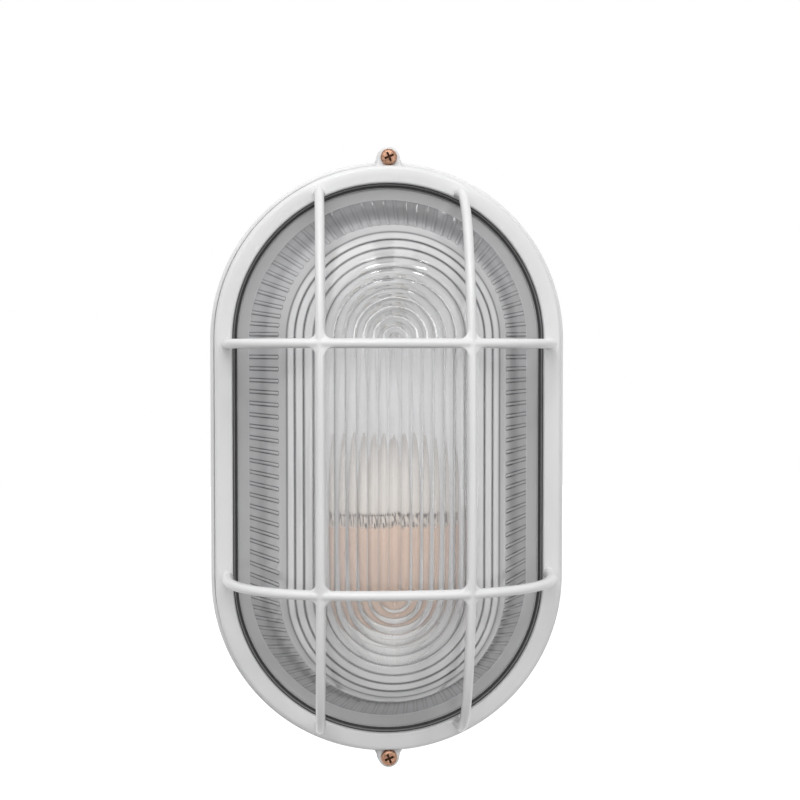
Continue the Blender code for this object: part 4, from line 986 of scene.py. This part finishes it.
def ribbed_ring(
    mesh_data, columns, offset, depth, relief=0.0, dark=0.0, haze=WALL_HAZE, width=1.0, closing=0.0,
):
    """A ring of the ribbed wall, marked with painted shade along its lines and with its haze."""
    line_shade_layer = mesh_data.verts.layers.float["line"]
    haze_layer = mesh_data.verts.layers.float["haze"]
    ring = []
    for column in columns:
        normal_x, normal_z, height = rib_place(column, offset, width)
        turning, share, raised = column[2:]
        out = offset + RIB_RELIEF * relief * raised * (1 - RIB_FADE * max(-normal_z, 0.0))
        vertex = mesh_data.verts.new((normal_x * out, -depth, height + normal_z * out))
        skyward = max(normal_z, 0.0)
        # Painted shade: dark lines along each rib's edges and a dark dot where a rib closes; the
        # lines fade towards the top and bottom, the dots towards the bottom
        faint = RIB_FADE * max(-normal_z, skyward * (closing == 0.0))
        if abs(share) == 1.0:
            vertex[line_shade_layer] = dark * (1 - faint)
        elif turning != 0 and abs(share) < 1.0:
            vertex[line_shade_layer] = closing * (1 - faint)
        # Painted shade: the wall's upward faces go darker, towards the top haze
        top_shade = (TOP_SHADE_HAZE - haze) * SKY_SHARE * skyward if haze < SHOULDER_HAZE else 0.0
        vertex[haze_layer] = haze + top_shade
        ring.append(vertex)
    return ring


def wall_rings(mesh_data, columns):
    """The ribbed wall from the flange up to the shoulder, just short of which each rib closes."""
    wall = SHOULDER_DEPTH - RIB_END - FOOT_DEPTH
    change = SHOULDER_HAZE - WALL_HAZE
    rings = [
        ribbed_ring(mesh_data, columns, GLASS_FOOT + RING_HALF_WIDTH, FOOT_DEPTH, haze=FLANGE_HAZE),
        ribbed_ring(mesh_data, columns, GLASS_FOOT, FOOT_DEPTH),
    ]
    for part in WALL_PARTS:
        rings.append(ribbed_ring(
            mesh_data, columns, GLASS_FOOT - WALL_SLOPE * wall * part, FOOT_DEPTH + wall * part,
            relief=1.0, dark=1.0, haze=WALL_HAZE + change * HAZE_AT_ENDS * part,
        ))
    for part in END_PARTS:
        depth = SHOULDER_DEPTH - RIB_END * (1 - part)
        rounding = math.sqrt(max(0.0, 1 - (part / RIB_CLOSE) ** 2))
        rings.append(ribbed_ring(
            mesh_data, columns, GLASS_SHOULDER + (SHOULDER_DEPTH - depth) * WALL_SLOPE, depth,
            relief=rounding, dark=1.0 if part <= RIB_CLOSE else 0.0,
            haze=WALL_HAZE + change * (HAZE_AT_ENDS + (1 - HAZE_AT_ENDS) * part),
            width=RIB_END_WIDTH + (1 - RIB_END_WIDTH) * rounding,
            closing=1.0 if part == RIB_CLOSE else 0.0,
        ))
    return rings


def dome_rings(mesh_data, columns):
    """The dome's outside from its outer ring line in, marked as the wall is."""
    line_shade_layer = mesh_data.verts.layers.float["line"]
    haze_layer = mesh_data.verts.layers.float["haze"]
    rim = ring_valleys()[-1]
    rings = []
    for offset, depth, dark in dome_outline():
        ring = oval_ring(mesh_data, columns, offset, depth)
        clouding = min((offset / rim) ** RING_HAZE_POWER * RING_HAZE_GAIN, 1.0)
        for vertex in ring:
            # Painted shade along the ring lines
            vertex[line_shade_layer] = dark
            vertex[haze_layer] = SHOULDER_HAZE if offset > rim else RING_HAZE * clouding
        rings.append(ring)
    return rings


def glass_lens(surface):
    """Flange, ribbed wall, ringed dome and fluted inside as one closed mesh."""
    mesh_data = bmesh.new()
    mesh_data.verts.layers.float.new("line")
    mesh_data.verts.layers.float.new("haze")
    columns, shared = rib_columns()
    plain = [rib_place(columns[index], GLASS_FOOT, 1.0) for index in shared]
    plain_shared = range(len(plain))
    fine = oval_columns(GLASS_ARC_STEPS)
    rib_share = GLASS_ARC_STEPS // ARC_RIBS
    arc_places = [index % (GLASS_ARC_STEPS + 1) for index in range(len(fine))]
    fine_shared = [index for index, place in enumerate(arc_places) if place % rib_share == 0]

    wall = wall_rings(mesh_data, columns)
    skin_rings(mesh_data, wall)
    flange = [
        oval_ring(mesh_data, plain, FLANGE_RADIUS, depth) for depth in (FLANGE_BACK, FOOT_DEPTH)
    ]
    skin_rings(mesh_data, flange)
    strip(mesh_data, flange[1], plain_shared, wall[0], shared)
    haze_layer = mesh_data.verts.layers.float["haze"]
    for vertex in flange[0] + flange[1]:
        vertex[haze_layer] = FLANGE_HAZE

    dome = dome_rings(mesh_data, fine)
    strip(mesh_data, dome[0], fine_shared, wall[-1], shared)
    skin_rings(mesh_data, dome)
    mesh_data.faces.new(dome[-1])

    shoulder = GLASS_SHOULDER - GLASS_THICKNESS
    under = [point for point in flute_outline() if point[0] < shoulder - RING_HALF_WIDTH]
    inner = [flute_ring(mesh_data, fine, *point) for point in under]
    mesh_data.faces.new(inner[0])
    skin_rings(mesh_data, inner)
    knee = oval_ring(mesh_data, plain, shoulder, SHOULDER_DEPTH - GLASS_THICKNESS / 2)
    foot = oval_ring(mesh_data, plain, GLASS_FOOT - GLASS_THICKNESS, FLANGE_BACK)
    strip(mesh_data, inner[-1], fine_shared, knee, plain_shared)
    skin_rings(mesh_data, (knee, foot, flange[0]))
    made = piece("pressed_lens", mesh_data, GLASS_SHARP_ANGLE)
    return seat(made, "glass_lens", surface)


# Lamp and screws

def led_lamp(surface):
    outline = [(0.0, LAMP_TOP)]
    for step in range(1, LAMP_STEPS + 1):
        angle = math.pi / 2 * step / LAMP_STEPS
        height = BAND_TOP + DIFFUSER_HEIGHT * math.cos(angle)
        outline.append((LAMP_RADIUS * math.sin(angle), height))
    band_radius = LAMP_RADIUS - BAND_RECESS
    outline += [(band_radius, BAND_TOP - BAND_RECESS), (band_radius, BODY_TOP + BAND_RECESS)]
    for step in range(LAMP_STEPS + 1):
        part = step / LAMP_STEPS
        swell = math.cos(math.pi / 2 * part) ** BODY_SWELL
        radius = NECK_RADIUS + (LAMP_RADIUS - NECK_RADIUS) * swell
        outline.append((radius, BODY_TOP - BODY_HEIGHT * part))
    steps = CAP_THREADS * THREAD_STEPS
    for step in range(steps + 1):
        sunk = THREAD_DEPTH * (1 - math.cos(2 * math.pi * step / THREAD_STEPS)) / 2
        height = NECK_HEIGHT - CAP_HEIGHT * THREADED_SHARE * step / steps
        outline.append((CAP_RADIUS - sunk, height))
    outline.append((CAP_RADIUS * CAP_END_SHARE, NECK_HEIGHT - CAP_HEIGHT))
    outline.append((CONTACT_RADIUS, NECK_HEIGHT - CAP_HEIGHT - CONTACT_HEIGHT))
    outline.append((0.0, LAMP_LOW.z))
    mesh_data = bmesh.new()
    turn(mesh_data, outline, (0.0, -LAMP_DEPTH, 0.0), UPWARD, LAMP_SIDES)
    return seat(piece("led_bulb", mesh_data), "led_lamp", surface)


def cross_outline(height):
    """(x, z) corners of a cross recess, a little turned."""
    corners = []
    for facing, left in quarter_directions(CROSS_TURN):
        corners += [
            facing * CROSS_SPAN - left * CROSS_WIDTH,
            facing * CROSS_SPAN + left * CROSS_WIDTH,
            facing * CROSS_WIDTH + left * CROSS_WIDTH,
        ]
    return [(corner.x, height + corner.y) for corner in corners]


def cover_screw(name, node, surface):
    low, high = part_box(node)
    centre_z = (low.z + high.z) / 2
    radius = (high.x - low.x) / 2
    top, back = -low.y, -high.y
    head_back = LUG_FRONT + SEAT_GAP
    head = top - head_back
    outline = [
        (0.0, back), (TIP_RADIUS, back), (SHANK_RADIUS, back + TIP_HEIGHT),
        (SHANK_RADIUS, head_back), (radius, head_back),
    ]
    for step in range(HEAD_STEPS + 1):
        angle = math.pi / 2 * step / HEAD_STEPS
        rise = HEAD_EDGE + (1 - HEAD_EDGE) * math.sin(angle)
        outline.append((radius * math.cos(angle) ** HEAD_ROUNDNESS, head_back + head * rise))
    mesh_data = bmesh.new()
    turn(mesh_data, outline, (0.0, 0.0, centre_z), OUTWARD, SCREW_SIDES)
    made = piece(name, mesh_data)
    cross = bmesh.new()
    prism(cross, cross_outline(centre_z), top - CROSS_DEPTH, top + CROSS_DEPTH)
    combine(made, piece("cross_cut", cross), "DIFFERENCE")
    # Mark the faces inside the cross recess for the painted shade there
    recess = made.data.attributes.new("recess", "FLOAT", "FACE")
    for face, mark in zip(made.data.polygons, recess.data):
        inside = (face.center - Vector((0.0, 0.0, centre_z))).xz.length < CROSS_SPAN
        mark.value = 1.0 if inside and face.center.y > CROSS_DEPTH / 3 - top else 0.0
    shade(made.data)
    return seat(made, node, surface)


def dress_nodes(paints):
    """Give each CAD node that stays in view the material of its slot."""
    for row in frame["record"]["subparts"]:
        node = frame["nodes"][row["node"]]
        if node.hide_render:
            continue
        node.data.materials.clear()
        node.data.materials.append(paints[row["material_slot"]])


# Stage

def seen_ray(tree):
    """One for a ray from the camera, or one that gloss or glass has turned, else nothing."""
    path = tree.nodes.new("ShaderNodeLightPath")
    seen = path.outputs["Is Camera Ray"]
    for kind in ("Is Glossy Ray", "Is Transmission Ray"):
        either = tree.nodes.new("ShaderNodeMath")
        either.operation = "MAXIMUM"
        tree.links.new(seen, either.inputs[0])
        tree.links.new(path.outputs[kind], either.inputs[1])
        seen = either.outputs["Value"]
    return seen


def floor_surface():
    """Pale floor that shows white to the camera and in gloss and glass."""
    floor = Surface("floor_white", (0.35, 0.35, 0.35), 0.9)
    floor.set("Emission Color", (*WHITE, 1.0))
    floor.feed("Emission Strength", seen_ray(floor.tree))
    return floor.material


def stage():
    mesh_data = bmesh.new()
    corners = []
    for x, y in ((-1, -1), (1, -1), (1, 1), (-1, 1)):
        corners.append(mesh_data.verts.new((FLOOR_HALF * x, FLOOR_HALF * y, -FLOOR_DROP)))
    mesh_data.faces.new(corners)
    floor = piece("floor", mesh_data)
    floor.data.materials.append(floor_surface())


def world_light():
    """White where it is seen, and a soft light from above that fades below."""
    world = bpy.data.worlds.new("studio")
    bpy.context.scene.world = world
    world.use_nodes = True
    tree = world.node_tree
    light = tree.nodes["Background"]
    light.inputs["Color"].default_value = (*WHITE, 1.0)
    direction = tree.nodes.new("ShaderNodeTexCoord").outputs["Generated"]
    split = tree.nodes.new("ShaderNodeSeparateXYZ")
    tree.links.new(direction, split.inputs["Vector"])
    fade = tree.nodes.new("ShaderNodeMapRange")
    fade.inputs["From Min"].default_value = -WORLD_FADE
    fade.inputs["From Max"].default_value = WORLD_FADE
    fade.inputs["To Min"].default_value = WORLD_BELOW
    fade.inputs["To Max"].default_value = WORLD_ABOVE
    tree.links.new(split.outputs["Z"], fade.inputs["Value"])
    tree.links.new(fade.outputs["Result"], light.inputs["Strength"])
    backdrop = tree.nodes.new("ShaderNodeBackground")
    backdrop.inputs["Color"].default_value = (*WHITE, 1.0)
    backdrop.inputs["Strength"].default_value = 1.0
    mix = tree.nodes.new("ShaderNodeMixShader")
    tree.links.new(seen_ray(tree), mix.inputs["Fac"])
    tree.links.new(light.outputs["Background"], mix.inputs[1])
    tree.links.new(backdrop.outputs["Background"], mix.inputs[2])
    tree.links.new(mix.outputs["Shader"], tree.nodes["World Output"].inputs["Surface"])


def area_light(name, place, target, size, watts, through_glass):
    data = bpy.data.lights.new(name, "AREA")
    data.shape = "RECTANGLE"
    data.size, data.size_y = size
    data.energy = watts
    lamp = bpy.data.objects.new(name, data)
    lamp.visible_transmission = through_glass
    lamp.location = place
    facing = Vector(target) - Vector(place)
    lamp.rotation_euler = facing.to_track_quat("-Z", "Y").to_euler()
    bpy.context.scene.collection.objects.link(lamp)


def camera():
    data = bpy.data.cameras.new("view")
    data.lens = FOCAL_LENGTH
    data.sensor_width = SENSOR_WIDTH
    made = bpy.data.objects.new("view", data)
    made.location = CAMERA_PLACE
    made.rotation_euler = CAMERA_TURN
    bpy.context.scene.collection.objects.link(made)
    bpy.context.scene.camera = made


def build():
    paints = {
        "casting": painted_casting(),
        "rubber": black_rubber(),
        "yellow_zinc": plated_metal("yellow_zinc", (0.18, 0.09, 0.05), (0.52, 0.31, 0.22), 0.4),
        "glass": pressed_glass(),
        "sheet": enamelled_sheet(),
        "zinc_steel": plated_metal("zinc_steel", (0.42, 0.43, 0.45), (0.62, 0.63, 0.65), 0.35),
        "brass": plated_metal("brass", (0.60, 0.52, 0.38), (0.78, 0.70, 0.55), 0.4),
        "porcelain": glazed_porcelain(),
        "lamp": lamp_surface(),
        "lead": wire_sheath(),
    }
    guard_frame(paints["casting"])
    base_housing(paints["casting"])
    lens_gasket(paints["rubber"])
    glass_lens(paints["glass"])
    led_lamp(paints["lamp"])
    cover_screw("upper_cover_screw", "cover_screw_top", paints["yellow_zinc"])
    cover_screw("lower_cover_screw", "cover_screw_bottom", paints["yellow_zinc"])
    dress_nodes(paints)
    stage()
    world_light()
    for light in LIGHTS:
        area_light(*light)
    camera()
    bpy.context.scene.view_settings.view_transform = "Standard"


build()
